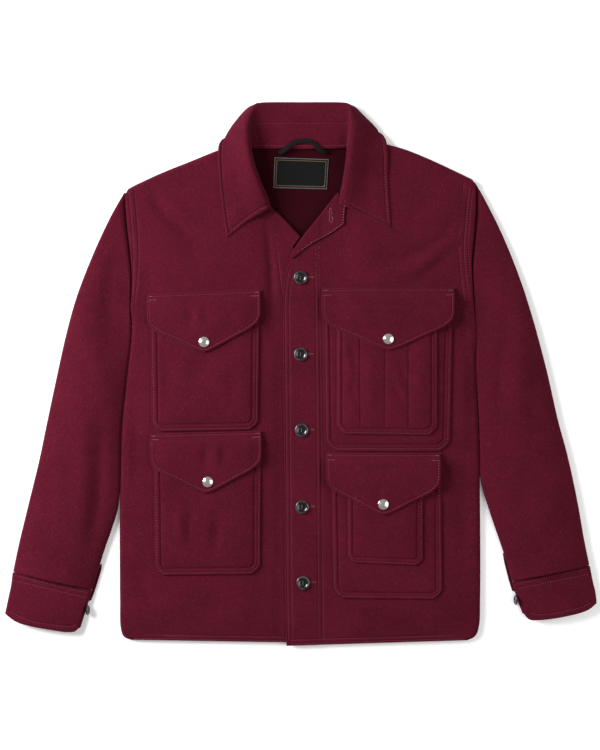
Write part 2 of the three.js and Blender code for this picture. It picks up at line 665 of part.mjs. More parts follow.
function loopTape() {
  const corners = LOOP_PATH.map((p) => new THREE.Vector3(...p));
  const path = new THREE.CatmullRomCurve3(corners, false, 'centripetal');
  const up = new THREE.Vector3(0, 0, 1);
  const rows = steps(14).map((t) => {
    const centre = path.getPoint(t);
    const side = new THREE.Vector3().crossVectors(path.getTangent(t), up).setLength(LOOP_TAPE.width / 2);
    return [centre.clone().sub(side), centre.clone().add(side)];
  });
  return wall(rows, LOOP_TAPE.thickness);
}
add('label', labelPatch(), TAPE_FINISH);
add('hang_loop', loopTape(), TAPE_FINISH);

export default jacket;
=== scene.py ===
# A burgundy wool mackinaw jacket, laid flat on its back. Tables are in millimetres, as in the part's source.
import math

import bpy
import numpy as np
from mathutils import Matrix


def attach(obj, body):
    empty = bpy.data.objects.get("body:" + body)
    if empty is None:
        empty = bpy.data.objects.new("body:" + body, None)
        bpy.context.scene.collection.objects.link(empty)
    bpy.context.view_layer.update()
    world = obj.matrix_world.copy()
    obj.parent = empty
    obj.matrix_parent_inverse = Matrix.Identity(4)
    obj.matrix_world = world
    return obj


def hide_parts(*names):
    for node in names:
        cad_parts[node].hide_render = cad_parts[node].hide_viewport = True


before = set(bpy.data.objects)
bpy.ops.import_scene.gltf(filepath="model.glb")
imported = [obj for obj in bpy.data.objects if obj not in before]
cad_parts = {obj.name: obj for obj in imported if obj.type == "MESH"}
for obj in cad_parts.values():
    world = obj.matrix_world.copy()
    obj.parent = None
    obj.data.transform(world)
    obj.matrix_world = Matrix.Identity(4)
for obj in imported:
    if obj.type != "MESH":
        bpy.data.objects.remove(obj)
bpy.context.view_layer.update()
bpy.ops.object.select_all(action="DESELECT")
scene = bpy.context.scene
MM = 0.001


# The view: a camera straight above on a long lens, a plain white table and soft lamps.
# The brighter lamp stands close by at the left, so the left sleeve is brightest and shadows fall right.
lens = bpy.data.cameras.new("camera")
lens.lens = 99
camera = bpy.data.objects.new("camera", lens)
camera.location = (-0.00145, -0.0022, 3.0)
scene.collection.objects.link(camera)
scene.camera = camera
scene.view_settings.view_transform = "Standard"

LAMPS = [
    {"name": "window_left", "at": (-1.6, 0.6, 1.05), "size": 1.05, "watts": 80, "colour": (0.98, 0.95, 1.04)},
    {"name": "fill_right", "at": (1.6, -0.2, 1.7), "size": 1.8, "watts": 32, "colour": (1.0, 0.99, 0.97)},
]
for lamp in LAMPS:
    light = bpy.data.lights.new(lamp["name"], "AREA")
    light.shape = "SQUARE"
    light.size = lamp["size"]
    light.energy = lamp["watts"]
    light.color = lamp["colour"]
    stand = bpy.data.objects.new(lamp["name"], light)
    stand.location = lamp["at"]
    stand.rotation_euler = stand.location.to_track_quat("Z", "Y").to_euler()
    scene.collection.objects.link(stand)

sky = bpy.data.worlds.new("studio")
sky.use_nodes = True
sky.node_tree.nodes["Background"].inputs["Color"].default_value = (1, 1, 1, 1)
sky.node_tree.nodes["Background"].inputs["Strength"].default_value = 0.2
scene.world = sky


class Value:
    """A number that varies over a surface: sums and products of it become Math nodes."""

    def __init__(self, finish, socket):
        self.finish = finish
        self.socket = socket

    def maths(self, operation, first, second):
        return self.finish.node("ShaderNodeMath", {"operation": operation}, {0: first, 1: second})

    def __add__(self, other):
        return self.maths("ADD", self, other)

    def __sub__(self, other):
        return self.maths("SUBTRACT", self, other)

    def __mul__(self, other):
        return self.maths("MULTIPLY", self, other)

    def __rsub__(self, other):
        return self.maths("SUBTRACT", other, self)

    __radd__ = __add__
    __rmul__ = __mul__


class Finish:
    """A material: node adds any shader node, and set joins values or links to the surface itself."""

    def __init__(self, name):
        self.material = bpy.data.materials.new(name)
        self.material.use_nodes = True
        self.tree = self.material.node_tree
        self.surface = self.tree.nodes["Principled BSDF"]

    def fill(self, node, inputs):
        for key, value in inputs.items():
            if isinstance(value, Value):
                self.tree.links.new(value.socket, node.inputs[key])
            else:
                node.inputs[key].default_value = value

    def node(self, kind, settings, inputs, output=0):
        node = self.tree.nodes.new(kind)
        for key, value in settings.items():
            if key == "stops":
                ramp = node.color_ramp.elements
                while len(ramp) < len(value):
                    ramp.new(0.5)
                for element, (position, colour) in zip(ramp, value):
                    element.position = position
                    element.color = colour
            else:
                setattr(node, key, value)
        self.fill(node, inputs)
        return Value(self, node.outputs[output])

    def set(self, **inputs):
        self.fill(self.surface, {key.replace("_", " "): value for key, value in inputs.items()})


def noise(finish, place, scale, detail=2.0, roughness=0.5, stretch=(1, 1, 1)):
    moved = finish.node("ShaderNodeMapping", {}, {"Vector": place, "Scale": stretch})
    return finish.node("ShaderNodeTexNoise", {}, {
        "Vector": moved, "Scale": scale, "Detail": detail, "Roughness": roughness})


def ramp(finish, value, low, high, bottom=0.0, top=1.0):
    return finish.node("ShaderNodeMapRange", {"interpolation_type": "SMOOTHSTEP"}, {
        "Value": value, "From Min": low, "From Max": high, "To Min": bottom, "To Max": top})


def blend_colours(finish, share, first, second):
    mixer = {"data_type": "RGBA", "clamp_factor": True}
    return finish.node("ShaderNodeMix", mixer, {0: share, 6: first, 7: second}, output=2)


def bump(finish, height, strength, distance):
    return finish.node("ShaderNodeBump", {}, {"Height": height, "Strength": strength, "Distance": distance})


def table_top():
    finish = Finish("white_table")
    place = finish.node("ShaderNodeTexCoord", {}, {}, "Object")
    grain = noise(finish, place, 90.0, 3.0)
    tone = blend_colours(finish, grain, (0.93, 0.93, 0.93, 1), (0.96, 0.96, 0.96, 1))
    finish.set(Base_Color=tone, Roughness=0.7, Specular_IOR_Level=0.2)
    finish.set(Emission_Color=(1, 1, 1, 1), Emission_Strength=0.14)
    return finish.material


bpy.ops.mesh.primitive_plane_add(size=14, location=(0, 0, 0))
table = bpy.context.object
table.name = "table"
table.data.materials.append(table_top())
bpy.ops.object.select_all(action="DESELECT")


# Back: one panel of heavy melton wool under everything, flat on the table. Only its inner face shows, inside
# the neck, where a darker copy of the wool without sheen paints in the neck's shade.
WOOL_THICKNESS = 2.6
SEAM = 0.3
EDGE_SHARE = 0.16
WOOL_TONES = [(0.052, 0.0031, 0.0088, 1), (0.080, 0.0052, 0.0136, 1), (0.148, 0.028, 0.046, 1)]
# Painted shade: darker tones for the inner face inside the neck, where shade falls
NECK_PAINTED_SHADE_TONES = [(0.016, 0.0005, 0.0022, 1), (0.025, 0.0008, 0.0036, 1), (0.038, 0.0022, 0.0070, 1)]


def melton(name, tones, sheen):
    """Felted wool: a deep ground with cloudy tone, short fibres lying every way and paler flecks."""
    finish = Finish(name)
    place = finish.node("ShaderNodeTexCoord", {}, {}, "Object")
    clouds = noise(finish, place, 20.0, 4.0, 0.6)
    tufts = noise(finish, place, 330.0, 4.0, 0.7)
    fibres = noise(finish, place, 620.0, 5.0, 0.75, (1.0, 0.45, 1.0))
    crossed = noise(finish, place, 620.0, 5.0, 0.75, (0.45, 1.0, 1.0))
    hairs = fibres * 0.5 + crossed * 0.5
    tone = ramp(finish, tufts * 0.4 + hairs * 0.35 + clouds * 0.25, 0.38, 0.62)
    specks = ramp(finish, tufts * 0.3 + fibres * 0.7, 0.54, 0.68, 0.0, 0.45)
    colour = blend_colours(finish, specks, blend_colours(finish, tone, tones[0], tones[1]), tones[2])
    nap = bump(finish, hairs * 0.6 + tufts * 0.8, 0.55, 0.0012)
    finish.set(Base_Color=colour, Roughness=ramp(finish, hairs, 0.3, 0.7, 0.88, 1.0), Normal=nap)
    finish.set(Sheen_Weight=sheen, Sheen_Roughness=0.36, Sheen_Tint=(0.88, 0.26, 0.46, 1))
    finish.set(Specular_IOR_Level=0.06)
    return finish.material


WOOL = melton("burgundy_melton", WOOL_TONES, 0.24)


def smooth_line(points, steps=8):
    """A smooth line through the points of one stretch, as the part's source draws it."""
    points = np.asarray(points, float)
    if len(points) == 2:
        return points
    ends = np.vstack([2 * points[0] - points[1], points, 2 * points[-1] - points[-2]])
    gaps = np.sum(np.diff(ends, axis=0) ** 2, axis=1) ** 0.25
    w = np.arange(steps)[:, None] / steps
    line = []
    for k in range(len(points) - 1):
        p0, p1, p2, p3 = ends[k:k + 4]
        d0, d1, d2 = gaps[k:k + 3]
        leave = ((p1 - p0) / d0 - (p2 - p0) / (d0 + d1) + (p2 - p1) / d1) * d1
        arrive = ((p2 - p1) / d1 - (p3 - p1) / (d1 + d2) + (p3 - p2) / d2) * d1
        line.append((2 * w**3 - 3 * w**2 + 1) * p1 + (w**3 - 2 * w**2 + w) * leave
                    + (3 * w**2 - 2 * w**3) * p2 + (w**3 - w**2) * arrive)
    return np.vstack(line + [points[-1:]])


def line_of(*stretches):
    """Smooth stretches joined at their corners."""
    parts = [smooth_line(stretch) for stretch in stretches]
    return np.vstack([parts[0]] + [part[1:] for part in parts[1:]])


def lengths_along(line):
    return np.concatenate([[0], np.cumsum(np.linalg.norm(np.diff(line, axis=0), axis=1))])


def places_on(line, shares):
    """Points at the given shares of a line's length."""
    reach = lengths_along(line)
    return np.stack([np.interp(shares, reach / reach[-1], line[:, k]) for k in range(line.shape[1])], axis=-1)


def net(bottom, top, start, end, across, along):
    """A net of points between four outlines that meet at their ends."""
    u = across[None, :, None]
    v = along[:, None, None]
    sides = places_on(bottom, across)[None] * (1 - v) + places_on(top, across)[None] * v
    ends = places_on(start, along)[:, None] * (1 - u) + places_on(end, along)[:, None] * u
    corners = bottom[0] * (1 - u) * (1 - v) + bottom[-1] * u * (1 - v)
    corners = corners + top[0] * (1 - u) * v + top[-1] * u * v
    return sides + ends - corners


def distance_to(line, spots):
    """How far each spot is from a line, and at what share of the line's length."""
    flat = spots.reshape(-1, 2)
    nearest = np.full(len(flat), np.inf)
    share = np.zeros(len(flat))
    total = lengths_along(line)[-1]
    done = 0.0
    for a, b in zip(line[:-1], line[1:]):
        length = np.linalg.norm(b - a)
        if length < 1e-9:
            continue
        way = (b - a) / length
        reach = np.clip((flat - a) @ way, 0, length)
        gap = np.linalg.norm(flat - a - reach[:, None] * way, axis=1)
        closer = gap < nearest
        nearest[closer] = gap[closer]
        share[closer] = (done + reach[closer]) / total
        done += length
    return nearest.reshape(spots.shape[:-1]), share.reshape(spots.shape[:-1])


def ease(value, low, high):
    t = np.clip((value - low) / (high - low), 0, 1)
    return t * t * (3 - 2 * t)


def round_over(distance, width):
    inside = np.clip(distance / width, 0, 1)
    return np.sqrt(1 - (1 - inside) ** 2)


def lip(distance, thickness):
    """Half the cloth's thickness, thinned to a half round at a turned edge."""
    return thickness / 2 * np.maximum(round_over(distance, thickness / 2), EDGE_SHARE)


def grid_steps(length, close=(), fine=1.2, coarse=5.0):
    """Shares of a length: closest at both ends, close in the given stretches, coarse elsewhere."""
    edge = [0.0, 0.12, 0.4, 0.8, 1.3]
    places = list(edge)
    place = edge[-1]
    limit = length - edge[-1]
    while place < limit:
        inside = any(low <= place < high for low, high in close)
        step = place + (fine if inside else coarse)
        starts = [low for low, high in close if place < low < step]
        place = min([step, limit] + starts)
        places.append(place)
    places.extend(length - d for d in reversed(edge[:-1]))
    return np.unique(np.round(places, 4)) / length


def closed_mesh(name, points, faces, material):
    """A solid mesh from points in millimetres, with its faces turned outwards."""
    corners = points[faces]
    fan = np.einsum("ij,ij->i", corners[:, 0], np.cross(corners[:, 1], corners[:, 2]))
    fan += np.einsum("ij,ij->i", corners[:, 0], np.cross(corners[:, 2], corners[:, 3]))
    if fan.sum() < 0:
        faces = faces[:, ::-1]
    mesh = bpy.data.meshes.new(name)
    mesh.from_pydata((points * MM).tolist(), [], faces.tolist())
    mesh.shade_smooth()
    mesh.materials.append(material)
    piece = bpy.data.objects.new(name, mesh)
    scene.collection.objects.link(piece)
    return piece


def square_to(middle, ring=False):
    """The direction square to the cloth at each point of a net."""
    across = np.roll(middle, -1, 1) - np.roll(middle, 1, 1) if ring else np.gradient(middle, axis=1)
    square = np.cross(across, np.gradient(middle, axis=0))
    return square / np.maximum(np.linalg.norm(square, axis=-1, keepdims=True), 1e-9)


def cloth(name, middle, half, ring=False, material=WOOL, facing=None):
    """Cloth with its thickness on both sides of a net, square to it or to a smoother net, closed all round."""
    rows, columns = middle.shape[:2]
    square = square_to(middle if facing is None else facing, ring)
    out = square * np.broadcast_to(half, (rows, columns))[..., None]
    points = np.concatenate([(middle + out).reshape(-1, 3), (middle - out).reshape(-1, 3)])
    index = np.arange(rows * columns).reshape(rows, columns)
    if ring:
        index = np.hstack([index, index[:, :1]])
    upper = np.stack([index[:-1, :-1], index[:-1, 1:], index[1:, 1:], index[1:, :-1]], -1).reshape(-1, 4)
    under = rows * columns
    faces = [upper, upper[:, ::-1] + under]
    rims = [index[0][::-1], index[-1]] + ([] if ring else [index[:, 0], index[:, -1][::-1]])
    for rim in rims:
        faces.append(np.stack([rim[:-1], rim[1:], rim[1:] + under, rim[:-1] + under], -1))
    return closed_mesh(name, points, np.concatenate(faces), material)


def tack_thread(name, colour, pale):
    """Spun thread: twisted strands, with a painted highlight: paler where the bump raises them."""
    finish = Finish(name)
    place = finish.node("ShaderNodeTexCoord", {}, {}, "Object")
    strands = noise(finish, place, 1900.0, 2.0, 0.6)
    finish.set(Base_Color=blend_colours(finish, ramp(finish, strands, 0.35, 0.65), colour, pale))
    finish.set(Roughness=0.8, Normal=bump(finish, strands, 0.5, 0.0003), Specular_IOR_Level=0.15)
    return finish.material


SEAM_THREAD = tack_thread("seam_thread", (0.150, 0.030, 0.052, 1), (0.280, 0.085, 0.120, 1))
# Painted shade: a darker copy of the seam thread, for rows that lie in the shade of their groove or step.
SHADED_THREAD = tack_thread("painted_shade_thread", (0.028, 0.0025, 0.006, 1), (0.055, 0.007, 0.014, 1))


STITCH_STATIONS = np.array([0.25, 0.38, 0.56, 0.69])
STITCH_ARCH = np.array([-0.7, 0.35, 0.35, -0.7])
STITCH_GIRTH = np.array([0.5, 1.0, 1.0, 0.5])
UNEVENNESS = 0.12


def sew(name, seams, pitch=3.9, thick=0.5, material=SEAM_THREAD):
    """Rows of stitches along paths in space; each stitch is a short arch that dips in at both ends."""
    jitter = np.random.default_rng(len(name))
    points = []
    for path, up in seams:
        reach = lengths_along(path)
        count = max(1, int(reach[-1] / pitch))
        starts = np.arange(count) * pitch + (reach[-1] - count * pitch) / 2
        starts = starts + jitter.uniform(-UNEVENNESS, UNEVENNESS, count)
        along = starts[:, None] + pitch * STITCH_STATIONS
        centre = np.stack([np.interp(along, reach, path[:, k]) for k in range(3)], -1)
        lift = np.stack([np.interp(along, reach, up[:, k]) for k in range(3)], -1)
        way = centre[:, 3:] - centre[:, :1]
        side = np.cross(way, lift)
        side = side / np.maximum(np.linalg.norm(side, axis=-1, keepdims=True), 1e-9)
        centre = centre + side * jitter.uniform(-UNEVENNESS, UNEVENNESS, (count, 1, 1))
        centre = centre + lift * (thick * STITCH_ARCH)[:, None]
        girth = thick * STITCH_GIRTH[:, None]
        ring = [centre + side * girth, centre + lift * girth, centre - side * girth, centre - lift * girth]
        points.append(np.stack(ring, 2).reshape(-1, 16, 3))
    points = np.concatenate(points)
    one = []
    for station in range(3):
        for corner in range(4):
            a = station * 4 + corner
            b = station * 4 + (corner + 1) % 4
            one.append([a, b, b + 4, a + 4])
    one.extend([[3, 2, 1, 0], [12, 13, 14, 15]])
    faces = (np.array(one)[None] + 16 * np.arange(len(points))[:, None, None]).reshape(-1, 4)
    piece = closed_mesh(name, points.reshape(-1, 3), faces, material)
    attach(piece, "root")
    return piece


def laid_path(line, height):
    """A flat line raised onto a surface, with the upward direction at each point."""
    reach = lengths_along(line)
    count = max(2, int(reach[-1] / 1.6))
    spots = places_on(line, np.linspace(0, 1, count))
    path = np.column_stack([spots, height(spots)])
    return path, np.tile([0.0, 0.0, 1.0], (count, 1))


LEFT_SIDE = [
    (-243.6, -386.4), (-256.6, -381.3), (-260.7, -369), (-261.6, -328.4), (-262, -270.4),
    (-262, -196.5), (-261.6, -154.4), (-259.8, -81.9), (-253, -9.4), (-245.8, 48.6), (-244.2, 74.7),
]
LEFT_ARMHOLE = [
    (-244.2, 74.7), (-246.8, 96.4), (-245.3, 121.1), (-245.2, 147.2), (-248.1, 180.5),
    (-252.6, 221.1), (-254.3, 247.2), (-254.2, 259.6), (-251.4, 266.4),
]
LEFT_SHOULDER = [
    (-251.4, 266.4), (-241.4, 271.9), (-200.1, 291), (-158.8, 307.5), (-121.1, 322.8), (-89.2, 334.2),
]
RIGHT_SIDE = [
    (239.2, -387.1), (252.3, -380.6), (257.5, -366.1), (259, -328.4), (259.3, -257.4),
    (258.8, -183.4), (258, -110.9), (256.1, -52.9), (253.2, 5.1), (252.6, 44.2),
]
RIGHT_ARMHOLE = [
    (252.6, 44.2), (252, 79), (249.2, 121.1), (247.2, 157.3), (249.2, 186.3),
    (253, 229.8), (253.2, 258.8), (252.4, 274), (248.8, 280.6),
]
RIGHT_SHOULDER = [
    (248.8, 280.6), (206.6, 300.7), (178.9, 313.2), (151.1, 324.2), (126.1, 331.2), (94.2, 337.8),
]
BACK_NECK = [
    (-89.2, 334.2), (-71, 332.1), (-37.7, 330.2), (1.4, 329.9), (40.6, 330.9), (75.4, 333.9), (94.2, 337.8),
]

BACK_WIDTH = 530
BACK_LENGTH = 720
NECK_HALF_WIDTH = 112
NECK_FOOT = 140
NECK_TOP = 332
back_across = grid_steps(BACK_WIDTH, coarse=8)
back_along = grid_steps(BACK_LENGTH, coarse=9)
back_hem = line_of([LEFT_SIDE[0], RIGHT_SIDE[0]])
back_top = line_of(LEFT_SHOULDER, BACK_NECK, RIGHT_SHOULDER[::-1])
back_flat = net(back_hem, back_top, line_of(LEFT_SIDE, LEFT_ARMHOLE), line_of(RIGHT_SIDE, RIGHT_ARMHOLE),
                back_across, back_along)
back_rim = line_of(LEFT_SIDE, LEFT_ARMHOLE, LEFT_SHOULDER, BACK_NECK, RIGHT_SHOULDER[::-1],
                   RIGHT_ARMHOLE[::-1], RIGHT_SIDE[::-1], [RIGHT_SIDE[0], LEFT_SIDE[0]])
back_edge = distance_to(back_rim, back_flat)[0]
back_middle = np.dstack([back_flat, np.full(back_flat.shape[:2], WOOL_THICKNESS / 2)])
back = cloth("back_panel", back_middle, lip(back_edge, WOOL_THICKNESS))
# Painted shade: the faces inside the neck take the darker wool without sheen.
back.data.materials.append(melton("neck_painted_shade_melton", NECK_PAINTED_SHADE_TONES, 0.0))
for face in back.data.polygons:
    x, y, z = np.array(face.center) / MM
    face.material_index = int(z > WOOL_THICKNESS / 2 and abs(x) < NECK_HALF_WIDTH and NECK_FOOT < y < NECK_TOP)
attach(back, "root")
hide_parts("back")


# Fronts: one wool panel each side, rolled over at the side and shoulder, with a raised seam at the armhole.
# The right one laps over the left and carries the buttonhole band, which is stitched on both of its sides.
FRONT_MIDDLE = 7.4
FRONT_RIM = 3.4
UNDERLAP_MIDDLE = 5.4
OVERLAP_MIDDLE = 8.6
BODY_FOLD = 5.0
SEAM_RISE = 1.1
FULLNESS = 3.4
STITCH_DEPTH = 1.0
STITCH_WIDTH = 1.25
CREASE_STRENGTH = 2.1
FRONT_WIDTH = 282
FRONT_LENGTH = 728
HEM_HEIGHT = -394
FULL_ABOVE = -330
SWELL_ROOM = 70

FRONTS = {
    "left": {
        "side": LEFT_SIDE, "armhole": LEFT_ARMHOLE, "shoulder": LEFT_SHOULDER, "notch": 74.7,
        "edge": [(18, -390.8), (18, 121.1)],
        "neckline": [
            (18, 121.1), (16, 153), (10, 178.3), (2.2, 194.3), (-20.3, 218.9), (-43.5, 241.4),
            (-56.5, 263.2), (-71, 289.3), (-82.6, 313.9), (-89.2, 334.2),
        ],
        "rows": [
            [(-249.8, 264), (-246.2, 228), (-242.4, 177.6), (-242.8, 139.9), (-243.6, 112)],
            [(-241.4, 273), (-237.8, 228.4), (-234.9, 177.6), (-236.4, 139.9), (-240.6, 99.3)],
            [(-243, -384), (-100, -386.4), (16, -388.4)],
            [(-247, -379), (-100, -381.4), (16, -383.4)],
            [(-36.2, 205.2), (-32.5, 165), (-28.3, 128.3), (-27, 116)],
        ],
        "close": {"across": [(0, 24), (214, 242)], "along": [(0, 14)]},
        "swell": 40,
    },
    "right": {
        "side": RIGHT_SIDE, "armhole": RIGHT_ARMHOLE, "shoulder": RIGHT_SHOULDER, "notch": 44.2,
        "edge": [
            (-21, -395.1), (-22.9, -328.4), (-23.8, -196.5), (-24.6, -96.4), (-25.8, 41.3), (-25.7, 121.1),
        ],
        "neckline": [
            (-25.7, 121.1), (-21, 150.1), (-10.2, 177.6), (1.4, 195), (27.6, 227.7), (49.3, 254.5),
            (63.1, 266.1), (72.5, 292.2), (84.1, 316.8), (94.2, 337.8),
        ],
        "rows": [
            [(236.8, 278), (232, 228), (229.8, 195), (232.2, 140), (238, 104)],
            [(244.4, 270), (239.6, 224), (237, 185), (239.6, 140), (245, 104)],
            [(248.4, 266), (245.2, 229), (242.6, 187), (243.8, 160), (245.4, 138)],
            [(-17, -392), (100, -388.6), (240, -384.6)],
            [(-15, -387), (100, -383.6), (244, -379.6)],
            [
                (-17.6, -388), (-19.2, -328.4), (-20.2, -196.5), (-21, -96.4), (-22.2, 41.3), (-22, 118),
                (-16.5, 152),
            ],
            [
                (-12, -384), (-13.5, -328.4), (-14.5, -196.5), (-15.3, -96.4), (-16.4, 41.3), (-16.2, 116),
                (-10, 150),
            ],
            [(26.1, -385), (24.6, -196), (23, 0), (21.8, 130), (21.4, 196)],
            [(32.6, -385), (30.2, -196), (28, 0), (26.2, 130), (25.8, 200)],
        ],
        "close": {"across": [(0, 24), (214, 243), (268, 286)], "along": [(0, 14)]},
        "swell": 46,
    },
}
# Soft creases and ridges of the cloth: where each runs, how high it stands and how wide it is
CREASES = {
    "left": [
        {"run": [(-222, 272), (-200, 234), (-168, 209), (-150, 196)], "height": -1.9, "width": 9},
        {"run": [(-205, 262), (-182, 240), (-150, 222)], "height": 1.0, "width": 10},
        {"run": [(-170, 192), (-140, 176), (-112, 168)], "height": -0.9, "width": 14},
        {"run": [(-52, 232), (-47, 195), (-43, 140), (-42, 50)], "height": -2.0, "width": 7},
        {"run": [(-228, 150), (-214, 128), (-206, 118)], "height": -0.9, "width": 9},
        {"run": [(-246, -20), (-238, -110), (-243, -200)], "height": -0.8, "width": 10},
        {"run": [(-236, -262), (-222, -330), (-226, -372)], "height": -0.9, "width": 12},
        {"run": [(-150, -322), (-120, -338), (-76, -330)], "height": -1.0, "width": 13},
        {"run": [(-206, -330), (-176, -345), (-150, -352)], "height": 0.8, "width": 13},
    ],
    "right": [
        {"run": [(222, 224), (204, 196), (160, 172), (112, 162)], "height": -1.5, "width": 7},
        {"run": [(226, 198), (182, 163), (140, 142), (100, 134)], "height": 1.3, "width": 8},
        {"run": [(222, 176), (186, 148), (160, 130)], "height": -1.0, "width": 7},
        {"run": [(196, 246), (176, 238), (150, 240)], "height": -1.0, "width": 11},
        {"run": [(62, 190), (84, 176), (120, 184)], "height": 0.8, "width": 13},
        {"run": [(232, 60), (236, -40), (232, -120)], "height": 0.8, "width": 12},
        {"run": [(222, -150), (236, -230), (232, -300)], "height": -0.8, "width": 13},
        {"run": [(80, -342), (118, -362), (160, -368)], "height": -1.1, "width": 10},
        {"run": [(56, -352), (92, -374), (120, -384)], "height": 0.8, "width": 9},
    ],
}


def crease_heights(spots, creases):
    """How high soft creases raise or sink a surface: each fades out towards its ends and sides."""
    height = np.zeros(spots.shape[:-1])
    for crease in creases:
        gap, share = distance_to(smooth_line(crease["run"]), spots)
        fade = np.sin(np.pi * np.clip(share, 0.06, 0.94))
        height += CREASE_STRENGTH * crease["height"] * np.exp(-(gap / crease["width"]) ** 2) * fade
    return height


def row_depths(spots, rows, depth=STITCH_DEPTH, width=STITCH_WIDTH):
    """How far rows of stitches pull a surface in."""
    sunk = np.zeros(spots.shape[:-1])
    for row in rows:
        sunk = np.minimum(sunk, -depth * np.exp(-(distance_to(smooth_line(row), spots)[0] / width) ** 2))
    return sunk


def front_height(side, spots, sewn=True):
    """The height of the middle of a front's cloth over each spot."""
    front = FRONTS[side]
    x, y = spots[..., 0], spots[..., 1]
    if side == "left":
        plateau = FRONT_MIDDLE + (UNDERLAP_MIDDLE - FRONT_MIDDLE) * ease(x, -44, -28)
    else:
        plateau = FRONT_MIDDLE + (OVERLAP_MIDDLE - FRONT_MIDDLE) * (1 - ease(x, 24, 31))
    from_side = distance_to(line_of(front["side"]), spots)[0]
    from_armhole = distance_to(line_of(front["armhole"]), spots)[0]
    from_shoulder = distance_to(line_of(front["shoulder"]), spots)[0]
    unsewn = ease(y, front["notch"] - 14, front["notch"] + 4)
    curl = np.maximum(unsewn, round_over(from_side, BODY_FOLD))
    curl = np.minimum(curl, round_over(from_shoulder, BODY_FOLD))
    inner = front["swell"]
    room = np.minimum(np.minimum(from_side, from_armhole), from_shoulder)
    swell = FULLNESS * round_over(room, SWELL_ROOM) * ease(np.abs(x), inner - 6, inner + 60)
    swell = swell * ease(y, HEM_HEIGHT, FULL_ABOVE)
    height = plateau + swell + unsewn * SEAM_RISE * (1 - ease(from_armhole, 6, 16))
    height = height + crease_heights(spots, CREASES[side]) * ease(np.minimum(room, y - HEM_HEIGHT), 2, 20)
    if sewn:
        height = height + row_depths(spots, front["rows"])
    return FRONT_RIM + (height - FRONT_RIM) * curl


def front_top(side):
    return lambda spots: front_height(side, spots) + WOOL_THICKNESS / 2


for side, front in FRONTS.items():
    across = grid_steps(FRONT_WIDTH, front["close"]["across"])
    along = grid_steps(FRONT_LENGTH, front["close"]["along"] + [(FRONT_LENGTH - 9, FRONT_LENGTH)], fine=0.9)
    hem = [front["side"][0], front["edge"][0]]
    flat = net(line_of(hem), line_of(front["shoulder"]), line_of(front["side"], front["armhole"]),
               line_of(front["edge"], front["neckline"]), across, along)
    open_rim = line_of(hem, front["edge"], front["neckline"])
    free = np.minimum(distance_to(open_rim, flat)[0],
                      distance_to(line_of(front["armhole"]), flat)[0] + 3 * (1 - ease(flat[..., 1], 30, 90)))
    middle = np.dstack([flat, front_height(side, flat)])
    smooth = np.dstack([flat, front_height(side, flat, sewn=False)])
    panel = cloth(f"front_panel_{side}", middle, lip(free, WOOL_THICKNESS), facing=smooth)
    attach(panel, "root")
    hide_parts(f"front_{side}")
    sew(f"front_stitches_{side}", [laid_path(smooth_line(row), front_top(side)) for row in front["rows"]])


# Lapels: the inner face of each front, turned out at the throat along its fold. The right one is wide, with
# a row of pale stitches near its edge and a keyhole buttonhole.
TACK_THREAD = tack_thread("tack_thread", (0.24, 0.10, 0.125, 1), (0.42, 0.23, 0.255, 1))
LAPEL_ROLL = (WOOL_THICKNESS + SEAM) / 2
LAPEL_ROWS = 90
ROLL_TURNS = np.radians(np.linspace(-70, 90, 9))
LAPEL_STITCHES = {"depth": 0.5, "width": 1.1}
LAPELS = {
    "left": {
        "fold": [(-38, 233), (-33.5, 229.5), (-26.5, 222.5), (-17, 213), (-8.5, 203.5), (-2, 197)],
        "outer": [(-43, 226), (-40, 214), (-32, 206.5), (-24, 196), (-17, 187), (-12.5, 182)],
        "inset": 2.4, "cut": (0.026, 0.055),
    },
    "right": {
        "fold": [
            (55, 261), (48.5, 253), (40.5, 243), (28.6, 227.7), (15.5, 211.5), (3, 195.5), (-8.2, 179),
            (-14, 167),
        ],
        "outer": [
            (66, 248), (64.5, 238), (63.6, 228), (63, 216.5), (42, 202), (20.5, 190.5), (4.5, 180),
            (-9, 168.5),
        ],
        "inset": 2.5, "cut": (0.048, 0.11),
    },
}


def straight_steps(points, shares):
    """Points along straight stretches, with corners kept."""
    points = np.asarray(points, float)
    place = np.linspace(0, 1, len(points))
    return np.column_stack([np.interp(shares, place, points[:, 0]), np.interp(shares, place, points[:, 1])])


def net_area(middle):
    """The area of a net of points, in square metres."""
    first = np.cross(middle[:-1, 1:] - middle[:-1, :-1], middle[1:, 1:] - middle[:-1, :-1])
    second = np.cross(middle[1:, 1:] - middle[:-1, :-1], middle[1:, :-1] - middle[:-1, :-1])
    return float(np.linalg.norm(first, axis=-1).sum() + np.linalg.norm(second, axis=-1).sum()) / 2 * MM * MM


def lapel_height(side, spots):
    return front_height(side, spots, sewn=False) + 2 * LAPEL_ROLL


